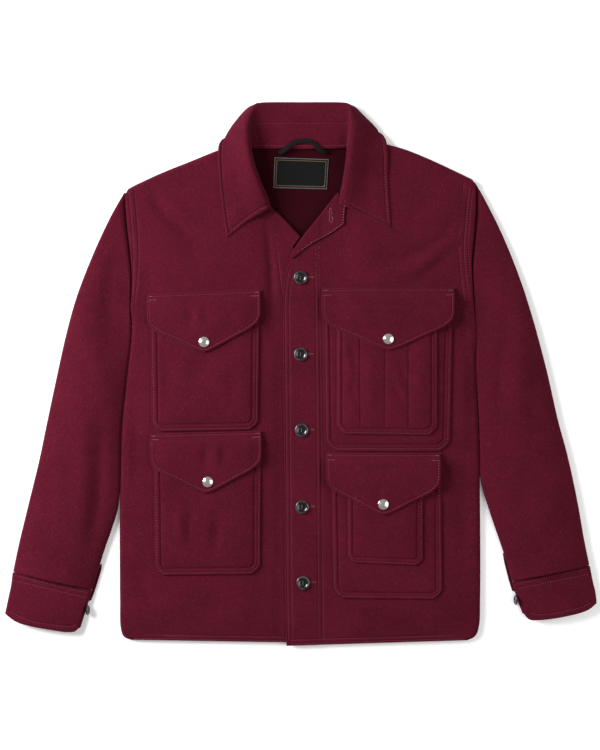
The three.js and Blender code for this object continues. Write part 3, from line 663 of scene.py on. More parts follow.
for side, lapel in LAPELS.items():
    along = np.linspace(0, 1, LAPEL_ROWS)
    fold = places_on(smooth_line(lapel["fold"]), along)
    outer = straight_steps(lapel["outer"], along)
    width = np.linalg.norm(outer - fold, axis=1)[:, None]
    way = (outer - fold) / width
    rolled = len(ROLL_TURNS)
    reach = np.concatenate([np.zeros(rolled), grid_steps(30, [(0, 30)])[1:]])
    flat = fold[:, None] + (way * width)[:, None] * reach[None, :, None]
    rim = np.vstack([fold[:1], outer, fold[-1:]])
    far = distance_to(rim, flat)[0]
    top = lapel_height(side, flat)
    row = fold[:, None] + (way * width)[:, None] * (1 - lapel["inset"] / width)[:, None]
    stitched = row[6:-8, 0]
    top += row_depths(flat, [stitched[::14]], **LAPEL_STITCHES)
    middle = np.dstack([flat, top])
    centre = top[:, rolled - 1] - LAPEL_ROLL
    for k, turn in enumerate(ROLL_TURNS):
        middle[:, k, :2] = fold - way * LAPEL_ROLL * math.cos(turn) * 0.9
        middle[:, k, 2] = centre + LAPEL_ROLL * math.sin(turn)
    half = lip(far, WOOL_THICKNESS)
    from_ends = np.minimum(np.arange(LAPEL_ROWS), np.arange(LAPEL_ROWS)[::-1])
    half[:, :rolled] = lip(from_ends * 0.7, WOOL_THICKNESS)[:, None]
    half[:, 0] *= 0.3
    piece = cloth(f"turned_lapel_{side}", middle, half)
    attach(piece, "root")
    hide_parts(f"lapel_{side}")
    net_area(middle)
    surface = lambda spots, side=side: lapel_height(side, spots) + WOOL_THICKNESS / 2 - 0.6
    # The left lapel's row is sewn with the thread darkened as painted shade.
    sew(f"lapel_stitches_{side}", [laid_path(stitched, surface)],
        material=TACK_THREAD if side == "right" else SHADED_THREAD)


def buttonhole(name, at, length, width, turn, surface, keyhole=0.0):
    """A closed buttonhole: thread wound over both edges of a slit, with a round eye at one end if asked."""
    share = np.linspace(0, 2 * np.pi, 64, endpoint=False)
    loop_x = length / 2 * np.sign(np.cos(share)) * np.abs(np.cos(share)) ** 0.8
    eye = 1 + keyhole * np.exp(-((loop_x + length * 0.36) / (length * 0.16)) ** 2)
    loop_y = width / 2 * np.sin(share) * eye
    c, s = math.cos(turn), math.sin(turn)
    loop = np.column_stack([at[0] + loop_x * c - loop_y * s, at[1] + loop_x * s + loop_y * c])
    loop = np.vstack([loop, loop[:1]])
    path = np.column_stack([loop, surface(loop)])
    upwards = np.tile([0.0, 0.0, 1.0], (len(path), 1))
    return sew(name, [(path, upwards)], pitch=0.95, thick=0.5, material=TACK_THREAD)


KEYHOLE_AT = (43.2, 229.4)
buttonhole("lapel_buttonhole", KEYHOLE_AT, 21, 3.4, math.radians(93),
           lambda spots: lapel_height("right", spots) + WOOL_THICKNESS / 2, keyhole=0.9)


# Sleeves: a tube each of the same wool, set in under the raised armhole seam and lying rounded, with its
# underside flat on the table. Long soft folds run down towards the cuff.
SLEEVE_AIR = 3.5
TUBE_FOLD = 3.2
TUCK_SINK = 2.0
TUCK_SLOPE = 0.75
SLEEVE_TUCK = 4.6
SLEEVE_WIDTH = 130
SLEEVE_LENGTH = 570
SLEEVE_SWELL = 11.5
SLEEVES = {
    "left": {
        "start": [
            (-257.8, 258.8), (-256.1, 244.3), (-254, 221.1), (-249.2, 180.5), (-246.3, 147.2),
            (-247.1, 121.1), (-248, 96.4), (-247, 73.2),
        ],
        "outer": [
            (-257.8, 258.8), (-275.8, 226.5), (-298.7, 177.6), (-324.4, 111.9), (-340, 55.8), (-354.1, -7.5),
            (-366.8, -67.4), (-378.7, -125), (-392.9, -183.4), (-407.7, -244.6), (-416.9, -287.8),
        ],
        "inner": [
            (-247, 73.2), (-247.6, 48.6), (-254.4, -9.4), (-261.9, -81.9), (-263.6, -154.4),
            (-266.5, -193.6), (-275.5, -224), (-285.6, -253), (-294.3, -280.6), (-304.2, -313.2),
        ],
        "creases": [
            {"run": [(-312, -40), (-318, -100), (-316, -170), (-322, -262)], "height": 1.3, "width": 15},
            {"run": [(-290, -60), (-292, -130), (-296, -200), (-306, -270)], "height": -1.9, "width": 12},
            {"run": [(-268, 180), (-280, 120), (-276, 60)], "height": -1.0, "width": 10},
            {"run": [(-318, 60), (-296, 20), (-286, -26)], "height": 0.8, "width": 13},
            {"run": [(-372, -150), (-360, -200), (-372, -250)], "height": -0.7, "width": 14},
        ],
    },
    "right": {
        "start": [
            (254, 273.3), (253.8, 254.5), (253.9, 229.8), (250, 186.3), (248, 157.3),
            (250, 121.1), (252.9, 79), (255.4, 41.3),
        ],
        "outer": [
            (254, 273.3), (265.3, 253), (290.7, 202.3), (315.4, 141.4), (333.5, 86.3), (355.5, 4.8),
            (371.9, -67.4), (386, -119.9), (399.5, -182), (410.6, -244.6), (417.6, -278.4),
        ],
        "inner": [
            (255.4, 41.3), (254.9, 5.1), (258.4, -52.9), (260.4, -110.9), (261.8, -154.4),
            (274.8, -199.4), (294.1, -255.9), (301.6, -279.1), (307.4, -300.9),
        ],
        "creases": [
            {"run": [(300, 96), (294, 30), (288, -40), (292, -90)], "height": -1.4, "width": 11},
            {"run": [(322, 66), (318, 0), (316, -70), (324, -120)], "height": 1.2, "width": 13},
            {"run": [(276, 200), (288, 140), (284, 90)], "height": 0.8, "width": 11},
            {"run": [(330, -130), (322, -180), (334, -240)], "height": -0.8, "width": 14},
            {"run": [(372, -110), (368, -170), (382, -226)], "height": 0.8, "width": 14},
        ],
    },
}


def tube_net(shape, across, along):
    end = shape.get("end", [shape["outer"][-1], shape["inner"][-1]])
    return net(line_of(shape["start"]), line_of(end), line_of(shape["outer"]), line_of(shape["inner"]),
               across, along)


def tube_rise(shape, spots, thickness, air, swell, calm):
    """How far a flattened tube's upper layer rises over its middle height, and the swell alone."""
    from_outer = distance_to(line_of(shape["outer"]), spots)[0]
    from_inner = distance_to(line_of(shape["inner"]), spots)[0]
    fold = round_over(np.minimum(from_outer, from_inner), TUBE_FOLD)
    share = from_outer / np.maximum(from_outer + from_inner, 1e-6)
    calmed = ease(distance_to(line_of(shape["start"]), spots)[0], *calm)
    crown = swell * np.maximum(4 * share * (1 - share), 0) ** 0.8 * calmed
    clear = ease(np.minimum(from_outer, from_inner), 2, 26)
    crown = crown + crease_heights(spots, shape.get("creases", [])) * fold * clear
    return fold * (thickness + air) / 2, crown


def tube(name, shape, thickness, air, swell, calm, across, along, rows=(), tuck=0.0):
    """A flattened tube: its net goes over the top from the outer fold to the inner one and back underneath.

    A tuck carries its upper layer that far on, and down, under the cloth beyond its start, as far as the table.
    """
    flat = tube_net(shape, across, along)
    fold, crown = tube_rise(shape, flat, thickness, air, swell, calm)
    centre = thickness / 2 + (thickness + air) / 2
    over = centre + fold + np.maximum(crown, -air / 2) + row_depths(flat, rows)
    upper = np.dstack([flat, over])
    under = np.dstack([flat, centre - fold])
    lengths = lengths_along(places_on(line_of(shape["outer"]), along))
    if tuck:
        back_by = tuck * (1 - ease(lengths, 0, 9))[:, None, None]
        way = flat[0] - flat[6]
        way = way / np.linalg.norm(way, axis=1, keepdims=True)
        upper[..., :2] += back_by * way[None]
        upper[..., 2] -= TUCK_SLOPE * back_by[..., 0] + TUCK_SINK * (1 - ease(lengths, 0, 18))[:, None]
        upper[..., 2] = np.maximum(upper[..., 2], thickness / 2)
    middle = np.concatenate([upper, under[:, -2:0:-1]], axis=1)
    ends = np.minimum(lengths, lengths[::-1].max() - lengths)
    half = np.repeat(lip(ends, thickness)[:, None], middle.shape[1], axis=1)
    return cloth(name, middle, half, ring=True)


def tube_top(shape, thickness, air, swell, calm):
    def height(spots):
        fold, crown = tube_rise(shape, spots, thickness, air, swell, calm)
        return thickness + (thickness + air) / 2 + fold + np.maximum(crown, -air / 2)
    return height


SLEEVE_CALM = (0, 90)
for side, shape in SLEEVES.items():
    across = grid_steps(SLEEVE_WIDTH, [(0, 6), (SLEEVE_WIDTH - 6, SLEEVE_WIDTH)], fine=0.9, coarse=4)
    along = grid_steps(SLEEVE_LENGTH, [(0, 24)], coarse=5)
    sleeve = tube(f"wool_sleeve_{side}", shape, WOOL_THICKNESS, SLEEVE_AIR, SLEEVE_SWELL, SLEEVE_CALM,
                  across, along, tuck=SLEEVE_TUCK)
    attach(sleeve, "root")
    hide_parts(f"sleeve_{side}")


# Cuffs: a turned band of doubled wool at each wrist, seamed to the sleeve with two rows of stitches. The
# edge of its under layer shows past the inner fold, with a horn button standing on edge beside it.
CUFF_THICKNESS = 3.4
CUFF_AIR = 3.2
CUFF_SWELL = 5.0
CUFF_CALM = (-60, 30)
CUFF_WIDTH = 115
CUFF_DEPTH = 64
CUFF_STITCH_SINK = 0.8
CUFFS = {
    "left": {
        "start": [(-417.1, -288.5), (-304.6, -313.9)],
        "outer": [(-417.1, -288.5), (-419.3, -306.7), (-423.8, -328.4), (-428.3, -349.4)],
        "inner": [(-304.6, -313.9), (-313.8, -342.9), (-321.9, -369)],
        "end": [
            (-428.3, -349.4), (-414.7, -358.9), (-395.8, -365.3), (-363.9, -371.2), (-339.3, -374.8),
            (-327.7, -374.1), (-321.9, -369),
        ],
        "rows": [
            [(-415.5, -292.2), (-360, -306), (-307.5, -318)],
            [(-417.5, -299.5), (-360, -313), (-309.5, -325)],
            [(-423, -344.5), (-395, -357.5), (-362, -363.5), (-336, -366.5), (-326, -364)],
        ],
        "strip": [
            ((-292.2, -278.2), (-289.6, -276.6)), ((-295, -286.1), (-290, -284.5)),
            ((-303.8, -314.6), (-298.6, -313)), ((-309.6, -331.1), (-304.8, -329.5)),
        ],
        "area": 0.0154,
    },
    "right": {
        "start": [(417.8, -279.1), (307.6, -301.6)],
        "outer": [(417.8, -279.1), (422.2, -302.3), (426.3, -319.7), (427.8, -334.2)],
        "inner": [(307.6, -301.6), (313.9, -322.6), (323.1, -348)],
        "end": [
            (427.8, -334.2), (416.1, -342.9), (385.7, -351.6), (345.1, -357.4), (330.6, -356.6), (323.1, -348),
        ],
        "rows": [
            [(415.8, -283.2), (360, -295), (311, -305)],
            [(417.8, -290.5), (360, -302), (313.5, -312)],
            [(421, -331), (411, -336.5), (383, -344), (346, -349.5), (331, -347)],
        ],
        "strip": [
            ((296.2, -262.4), (293.4, -260.9)), ((300.5, -275.4), (295.3, -273.8)),
            ((307.1, -301.4), (301.8, -299.8)), ((311.8, -317.4), (306.9, -315.8)),
        ],
        "area": 0.0139,
    },
}
for side, shape in CUFFS.items():
    across = grid_steps(CUFF_WIDTH, [(0, 6), (CUFF_WIDTH - 6, CUFF_WIDTH)], fine=0.9, coarse=3.4)
    along = grid_steps(CUFF_DEPTH, [(0, 16), (CUFF_DEPTH - 16, CUFF_DEPTH)], fine=1.1, coarse=3)
    band = tube(f"cuff_band_{side}", shape, CUFF_THICKNESS, CUFF_AIR, CUFF_SWELL, CUFF_CALM,
                across, along, shape["rows"])
    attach(band, "root")
    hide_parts(f"cuff_{side}")
    surface = tube_top(shape, CUFF_THICKNESS, CUFF_AIR, CUFF_SWELL, CUFF_CALM)
    sunk_surface = lambda spots: surface(spots) - CUFF_STITCH_SINK
    sew(f"cuff_stitches_{side}", [laid_path(smooth_line(row), sunk_surface) for row in shape["rows"]])
    runs = np.array(shape["strip"])
    inner = places_on(runs[:, 0], np.linspace(0, 1, 40))
    outer = places_on(runs[:, 1], np.linspace(0, 1, 40))
    share = np.linspace(0, 1, 9)[None, :, None]
    flat = inner[:, None] * (1 - share) + outer[:, None] * share
    beyond = np.minimum(np.linalg.norm(flat - inner[:, None], axis=-1),
                        np.linalg.norm(flat - outer[:, None], axis=-1))
    strip_middle = np.dstack([flat, np.full(flat.shape[:2], WOOL_THICKNESS / 2)])
    strip = cloth(f"cuff_underlap_{side}", strip_middle, lip(beyond, WOOL_THICKNESS))
    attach(strip, "root")
    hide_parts(f"cuff_placket_{side}")


# Collar: stand and fall in one folded piece of doubled wool. The stand rises round the neck, rolls over and
# the fall lies on the fronts with its points down; one row of stitches follows its free edge.
COLLAR_THICKNESS = 4.0
COLLAR_ROLL = 3.4
COLLAR_SECTIONS = {
    "neck": [
        (-41.3, 235.4, 11.8), (-47.9, 250.1, 11.6), (-58.7, 270.4, 9.6), (-69.6, 295.1, 9.4), (-79, 316.8, 9),
        (-79, 327, 8), (-71, 327.3, 5.6), (-61.6, 327, 5), (-53.6, 326.7, 5), (1.4, 326.1, 5), (58, 327, 5),
        (66, 327.6, 5), (74.7, 328.4, 5.6), (83.4, 328.4, 8), (83.4, 319.7, 9), (74, 298, 9.4),
        (66, 276.2, 9.6), (60.6, 260.3, 11.6), (56.3, 244.4, 11.8),
    ],
    "roll": [
        (-45.4, 238.8, 14), (-51.5, 257.4, 17), (-63.2, 286.4, 21), (-71.4, 313.9, 24), (-74.4, 337.1, 25),
        (-75, 358.9, 24), (-70.3, 379.9, 19), (-63.8, 389.6, 13), (-55.1, 391.6, 8.5), (1.4, 392.2, 7.5),
        (62.4, 391.4, 8.5), (69.3, 388.5, 13), (71.8, 376.3, 19), (70.3, 356, 24), (68.1, 332.8, 25),
        (66.4, 309.6, 24), (62.6, 283.5, 21), (58.6, 262.4, 17), (56.4, 245.6, 14),
    ],
    "middle": [
        (-74.5, 221.6, 12.5), (-81.2, 238.5, 13), (-88.5, 266.1, 14.5), (-94.2, 296.5, 15.5), (-100, 328, 14.5),
        (-106.1, 342.5, 8), (-86.3, 374, 6.2), (-71, 385.7, 5), (-58, 379.2, 2.8), (1.4, 379.2, 2.8),
        (63.8, 379.2, 2.8), (74.7, 385.7, 5), (91.3, 371.9, 6.2), (111, 348, 8), (103, 331, 14.5),
        (100, 298, 15.5), (95.7, 267.5, 14.5), (93.5, 247.2, 13), (94, 227.6, 12.5),
    ],
    "edge": [
        (-107.9, 195.3, 11.6), (-111.2, 216.8, 11.6), (-115.3, 247.2, 11.6), (-118.5, 279.1, 11.6),
        (-120.6, 319, 11.6), (-116.5, 335, 6.5), (-87, 340.8, 2.8), (-71, 338.6, 2.8), (-56.5, 337.1, 2.8),
        (1.4, 335.7, 2.8), (60.9, 337.1, 2.8), (74.7, 340.8, 2.8), (91.3, 344.4, 2.8), (119.5, 343.5, 6.5),
        (125.4, 326.5, 11.6), (126.7, 283.5, 11.6), (128.3, 255.9, 11.6), (130.2, 228.4, 11.6),
        (131.2, 208.8, 11.6),
    ],
    "lay": [-1, -1, -1, -1, -1, -0.6, 0, 0.5, 1, 1, 1, 0.5, 0, -0.6, -1, -1, -1, -1, -1],
}
COLLAR_LENGTH = 560
COLLAR_WIDTH = 112
TIP_ROUND = 5.0
EDGE_ROW = 6.6
STAND_ROW = 36.0
NECK_ROW = 3.0
EDGE_TROUGH = {"depth": 1.3, "width": 1.4}
STAND_TROUGH = {"depth": 0.5, "width": 1.3}
COLLAR_PLUMP = 1.3
COLLAR_BEAD = {"height": 0.5, "at": 3.2, "width": 1.8}


def evenly(points, shares):
    """Points of a smooth line at shares of its table, not of its length."""
    line = smooth_line(points, 16)
    place = np.linspace(0, 1, len(line))
    return np.stack([np.interp(shares, place, line[:, k]) for k in range(line.shape[1])], axis=-1)


def collar_section(neck, roll, middle, edge, lay, shares):
    """One section of the collar, from its neck seam over the roll to its free edge."""
    to_neck = np.array([neck[0] - roll[0], neck[1] - roll[1], 0.0])
    to_middle = np.array([middle[0] - roll[0], middle[1] - roll[1], 0.0])
    stand = roll + to_neck / np.linalg.norm(to_neck) * COLLAR_ROLL + [0, 0, COLLAR_ROLL * lay]
    fall = roll + to_middle / np.linalg.norm(to_middle) * COLLAR_ROLL - [0, 0, COLLAR_ROLL * lay]
    return places_on(smooth_line([neck, stand, roll, fall, middle, edge], 16), shares)


collar_along = grid_steps(COLLAR_LENGTH, [(0, 16), (COLLAR_LENGTH - 16, COLLAR_LENGTH)], fine=1.1, coarse=3.2)
runs = {key: evenly(COLLAR_SECTIONS[key], collar_along) for key in ("neck", "roll", "middle", "edge")}
lays = np.interp(collar_along, np.linspace(0, 1, len(COLLAR_SECTIONS["lay"])), COLLAR_SECTIONS["lay"])
collar_across = 1 - grid_steps(COLLAR_WIDTH, [(0, 14)], fine=1.1, coarse=2.6)[::-1]
collar_middle = np.array([
    collar_section(*[runs[key][j] for key in ("neck", "roll", "middle", "edge")], lays[j], collar_across)
    for j in range(len(collar_along))])
for end, inward in ((0, 18), (-1, -19)):
    tip = collar_middle[end, -1].copy()
    sides = [collar_middle[end, -16] - tip, collar_middle[inward, -1] - tip]
    centre = tip + sum(side / np.linalg.norm(side) for side in sides) * TIP_ROUND
    apart = collar_middle[..., :2] - centre[:2]
    reach = np.maximum(np.linalg.norm(apart, axis=-1), 1e-6)
    ahead = apart @ (tip - centre)[:2] / reach / np.linalg.norm((tip - centre)[:2])
    beyond = np.maximum(reach - TIP_ROUND, 0) * ease(ahead, 0.3, 0.75)
    near = np.linalg.norm(collar_middle[..., :2] - tip[:2], axis=-1) < 3 * TIP_ROUND
    collar_middle[..., :2] -= apart / reach[..., None] * (0.6 * beyond * near)[..., None]
from_edge = np.array([lengths_along(row)[-1] - lengths_along(row) for row in collar_middle])
from_neck = np.array([lengths_along(row) for row in collar_middle])
columns = collar_middle.transpose(1, 0, 2)
from_first = np.array([lengths_along(column) for column in columns]).T
from_last = from_first.max(axis=0, keepdims=True) - from_first
from_front = np.minimum(from_first, from_last)
from_roll = np.array([
    from_neck[j] - from_neck[j, np.argmin(np.linalg.norm(collar_middle[j] - runs["roll"][j], axis=1))]
    for j in range(len(collar_along))])
outside = ease(np.abs(collar_along - 0.5), 0.18, 0.22)[:, None] * ease(from_roll, 1, 7)
free = np.minimum(from_edge, from_front)
sunk = -EDGE_TROUGH["depth"] * np.exp(-((free - EDGE_ROW) / EDGE_TROUGH["width"]) ** 2) * outside
inside_stand = (np.abs(collar_along - 0.5) < 0.17)[:, None]
sunk += -STAND_TROUGH["depth"] * np.exp(-((from_neck - STAND_ROW) / STAND_TROUGH["width"]) ** 2) * inside_stand
plump = COLLAR_PLUMP * ease(free, EDGE_ROW, 26) * outside
bead = COLLAR_BEAD["height"] * np.exp(-((free - COLLAR_BEAD["at"]) / COLLAR_BEAD["width"]) ** 2) * outside
collar_smooth = collar_middle.copy()
square = square_to(collar_middle)
square *= np.sign(square[8, -12, 2])
collar_middle = collar_middle + square * (sunk + plump + bead)[..., None]
collar_half = lip(np.minimum(free, from_neck + 0.4), COLLAR_THICKNESS)
collar_piece = cloth("collar_stand_and_fall", collar_middle, collar_half, facing=collar_smooth)
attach(collar_piece, "root")
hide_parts("collar")

collar_face = collar_middle + square * (COLLAR_THICKNESS / 2)
j_left = np.searchsorted(collar_along, 0.30)
j_right = np.searchsorted(collar_along, 0.70)


def collar_row(rows, distance, measure):
    """The path on the collar's face at a distance from its edge, with the direction square to the cloth."""
    spots = [(j, int(np.argmin(np.abs(measure[j] - distance)))) for j in rows]
    return np.array([collar_face[j, i] for j, i in spots]), np.array([square[j, i] for j, i in spots])


def front_end_row(first):
    """The part of the edge row that follows a front end of the collar, from the roll to the point."""
    measure = from_first if first else from_last
    spots = []
    for i in range(len(collar_across)):
        j = int(np.argmin(np.abs(measure[:, i] - EDGE_ROW)))
        if from_roll[j, i] > 5 and from_edge[j, i] > EDGE_ROW:
            spots.append((j, i))
    return np.array([collar_face[j, i] for j, i in spots]), np.array([square[j, i] for j, i in spots])


lower = [j for j in range(len(collar_along)) if from_first[j, -1] > EDGE_ROW and j < j_left]
upper = [j for j in range(len(collar_along)) if from_last[j, -1] > EDGE_ROW and j > j_right]
stand = [j for j in range(len(collar_along)) if abs(collar_along[j] - 0.5) < 0.165]
EDGE_STITCHES = [collar_row(lower, EDGE_ROW, from_edge), collar_row(upper, EDGE_ROW, from_edge),
                 front_end_row(True), front_end_row(False)]
sew("collar_edge_stitches", EDGE_STITCHES)
sew("collar_stand_stitches", [collar_row(stand, STAND_ROW, from_neck)], pitch=4.2, thick=0.28)
sew("collar_neck_stitches", [collar_row(stand, NECK_ROW, from_neck)])


# Pockets: patches with cut-off lower corners, turned under and sewn to the fronts with two rows of stitches.
# Smaller ones are sewn on the right pair, and the upper one is divided for pencils by three rows.
PATCH_GAP = 0.3
FRONT_FACE = WOOL_THICKNESS / 2
PATCH_STEP = WOOL_THICKNESS + PATCH_GAP
POCKET_SWELL = 1.9
POCKET_ROW_DEPTHS = (0.6, 1.25, 0.9, 0.9, 0.9)
CORNER_ACROSS = 0.085
CORNER_UP = 0.065
CORNER_BULGE = 0.14
CHANNEL_TOP = 90.0
CHANNEL_STOP = 12
ROW_BEAD = {"height": 0.45, "width": 2.0}
POCKETS = {
    "pocket_upper_left": {
        "side": "left", "layer": 0, "insets": (3.0, 9.6),
        "top": [(-218.5, 102), (-60, 107.5)], "bottom": [(-216, -84.3), (-62, -81.5)],
        "creases": [
            {"run": [(-198, 44), (-192, -10), (-196, -60)], "height": -0.7, "width": 10},
            {"run": [(-92, 20), (-98, -30), (-90, -66)], "height": -0.7, "width": 11},
            {"run": [(-160, -20), (-130, -44), (-110, -40)], "height": 0.7, "width": 14},
        ],
    },
    "pocket_lower_left": {
        "side": "left", "layer": 0, "insets": (3.0, 9.6),
        "top": [(-214, -101), (-57.7, -97.5)], "bottom": [(-211.7, -292.2), (-59, -290.7)],
        "creases": [
            {"run": [(-174, -190), (-176, -220), (-172, -252)], "height": 0.9, "width": 6},
            {"run": [(-160, -186), (-161, -225), (-158, -262)], "height": -1.1, "width": 6},
            {"run": [(-137, -200), (-136, -230), (-138, -256)], "height": 0.8, "width": 7},
            {"run": [(-122, -196), (-121, -232), (-125, -262)], "height": -0.9, "width": 7},
        ],
    },
    "pocket_upper_right": {
        "side": "right", "layer": 0, "insets": (4.0, 10.0),
        "top": [(31, 110), (220.4, 110.5)], "bottom": [(34.2, -112.8), (215.6, -113)],
        "creases": [],
    },
    "pencil_pocket_right": {
        "side": "right", "layer": 1, "insets": (2.4, 8.4),
        "top": [(51.3, 108), (197, 108)], "bottom": [(51.3, -87.7), (196.9, -89.2)],
        "channels": [(85.6, 86.2), (122, 121.4), (155.8, 155.6)],
        "creases": [
            {"run": [(71, 50), (77, 20), (84, 4)], "height": -1.2, "width": 4.5},
            {"run": [(70, -8), (78, -30), (86, -46)], "height": -1.1, "width": 5},
            {"run": [(64, 30), (70, 0), (66, -30)], "height": 0.7, "width": 5},
            {"run": [(136, 24), (148, 4), (154, -12)], "height": -0.9, "width": 4.5},
            {"run": [(130, -8), (140, -30), (150, -46)], "height": -1.0, "width": 5},
            {"run": [(132, 6), (144, -14), (152, -26)], "height": 0.8, "width": 4.5},
            {"run": [(104, 34), (100, -10), (104, -60)], "height": 0.6, "width": 6},
            {"run": [(174, 40), (172, -10), (176, -56)], "height": 0.5, "width": 6},
        ],
    },
    "pocket_lower_right": {
        "side": "right", "layer": 0, "insets": (3.0, 8.8),
        "top": [(43.2, -127.5), (202.7, -127.5)], "bottom": [(46.4, -325.5), (204.5, -327)],
        "creases": [],
    },
    "small_pocket_right": {
        "side": "right", "layer": 1, "insets": (2.6, 8.4),
        "top": [(66.7, -131), (176.3, -131)], "bottom": [(67.3, -273.3), (176, -277.7)],
        "creases": [{"run": [(96, -196), (116, -214), (140, -212)], "height": -0.7, "width": 8}],
    },
}


def pocket_outline(pocket):
    """The pocket's sides and foot, from its upper left corner round to its upper right one."""
    (tl, tr), (bl, br) = np.array(pocket["top"], float), np.array(pocket["bottom"], float)
    lower_left, lower_right = bl + (br - bl) * CORNER_ACROSS, br + (bl - br) * CORNER_ACROSS
    left_side, right_side = bl + (tl - bl) * CORNER_UP, br + (tr - br) * CORNER_UP
    soft_left = (lower_left + left_side) / 2 + (bl - (lower_left + left_side) / 2) * CORNER_BULGE
    soft_right = (lower_right + right_side) / 2 + (br - (lower_right + right_side) / 2) * CORNER_BULGE
    return np.array([tl, left_side, soft_left, lower_left, lower_right, soft_right, right_side, tr])


def inset(line, distance):
    """A line moved inwards, to its left, by an even distance."""
    way = np.diff(line, axis=0)
    way /= np.linalg.norm(way, axis=1, keepdims=True)
    left = np.column_stack([-way[:, 1], way[:, 0]])
    mean = np.vstack([left[:1], left[:-1] + left[1:], left[-1:]])
    mean /= np.linalg.norm(mean, axis=1, keepdims=True)
    lean = np.sum(mean * np.vstack([left, left[-1:]]), axis=1, keepdims=True)
    return line + mean * distance / lean


def channel_rows(pocket):
    foot = pocket["bottom"][0][1] + CHANNEL_STOP
    return [np.array([(x_top, CHANNEL_TOP), (x_foot, foot)]) for x_top, x_foot in pocket.get("channels", [])]


def pocket_rows(pocket):
    outline = pocket_outline(pocket)
    return [inset(outline, distance) for distance in pocket["insets"]] + channel_rows(pocket)


def polyline_depths(spots, rows, depths):
    sunk = np.zeros(spots.shape[:-1])
    for row, depth in zip(rows, depths):
        sunk = np.minimum(sunk, -depth * np.exp(-(distance_to(row, spots)[0] / STITCH_WIDTH) ** 2))
    return sunk


def pocket_swell(pocket, spots):
    """The pocket's fullness inside its rows, with a bead of cloth between them and at its rim."""
    gap = distance_to(pocket_outline(pocket), spots)[0]
    outer, inner = pocket["insets"]
    bead = ROW_BEAD["height"] * np.exp(-((gap - (outer + inner) / 2) / ROW_BEAD["width"]) ** 2)
    room = np.maximum(gap - inner, 0)
    for channel in channel_rows(pocket):
        room = np.minimum(room, distance_to(channel, spots)[0])
    deep = POCKET_SWELL * round_over(room, 26)
    return bead + deep + crease_heights(spots, pocket["creases"]) * ease(room, 0, 10)


def pocket_height(name, spots, sewn=True):
    """The height of the middle of a pocket's cloth over each spot."""
    pocket = POCKETS[name]
    under = front_height(pocket["side"], spots, sewn=False)
    if pocket["layer"] == 1:
        larger = "pocket_upper_right" if name.startswith("pencil") else "pocket_lower_right"
        under = pocket_height(larger, spots, sewn=False)
    gap = distance_to(pocket_outline(pocket), spots)[0]
    height = under + PATCH_STEP + pocket_swell(pocket, spots) - 0.25 * (1 - ease(gap, 0, 2.5))
    if sewn:
        height = height + polyline_depths(spots, pocket_rows(pocket), POCKET_ROW_DEPTHS)
    return height


for name, pocket in POCKETS.items():
    outline = pocket_outline(pocket)
    width = outline[-1, 0] - outline[0, 0]
    length = outline[0, 1] - outline[3, 1]
    channels = [channel[0, 0] - outline[0, 0] for channel in channel_rows(pocket)]
    bands = [(0, 14), (width - 14, width)] + [(x - 3.5, x + 3.5) for x in channels]
    across = grid_steps(width, bands, coarse=3.6)
    down = grid_steps(length, [(length - 24, length)], coarse=3.6)
    top_left, top_right = np.array(pocket["top"], float)
    foot_left, foot_right = np.array(pocket["bottom"], float)
    tops = top_left + (top_right - top_left) * across[:, None]
    bend = (1 - CORNER_BULGE) / 2
    foot_shares = np.interp(
        across, [0, CORNER_ACROSS * bend, CORNER_ACROSS, 1 - CORNER_ACROSS, 1 - CORNER_ACROSS * bend, 1],
        [1 - CORNER_UP, 1 - CORNER_UP * bend, 1, 1, 1 - CORNER_UP * bend, 1 - CORNER_UP])
    foots = foot_left + (foot_right - foot_left) * across[:, None]
    flat = tops[None] + (foots - tops)[None] * (down[:, None] * foot_shares[None])[..., None]
    gap = distance_to(outline, flat)[0]
    middle = np.dstack([flat, pocket_height(name, flat)])
    smooth = np.dstack([flat, pocket_height(name, flat, sewn=False)])
    patch = cloth(name + "_patch", middle, lip(gap, WOOL_THICKNESS), facing=smooth)
    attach(patch, "root")
    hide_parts(name)
    surface = lambda spots, name=name: pocket_height(name, spots) + WOOL_THICKNESS / 2
    rows = [laid_path(row, surface) for row in pocket_rows(pocket)]
    sew(name + "_stitches", rows[:1] + rows[2:])
    # The inner row's thread is darkened as painted shade.
    sew(name + "_inner_stitches", rows[1:2], material=SHADED_THREAD)


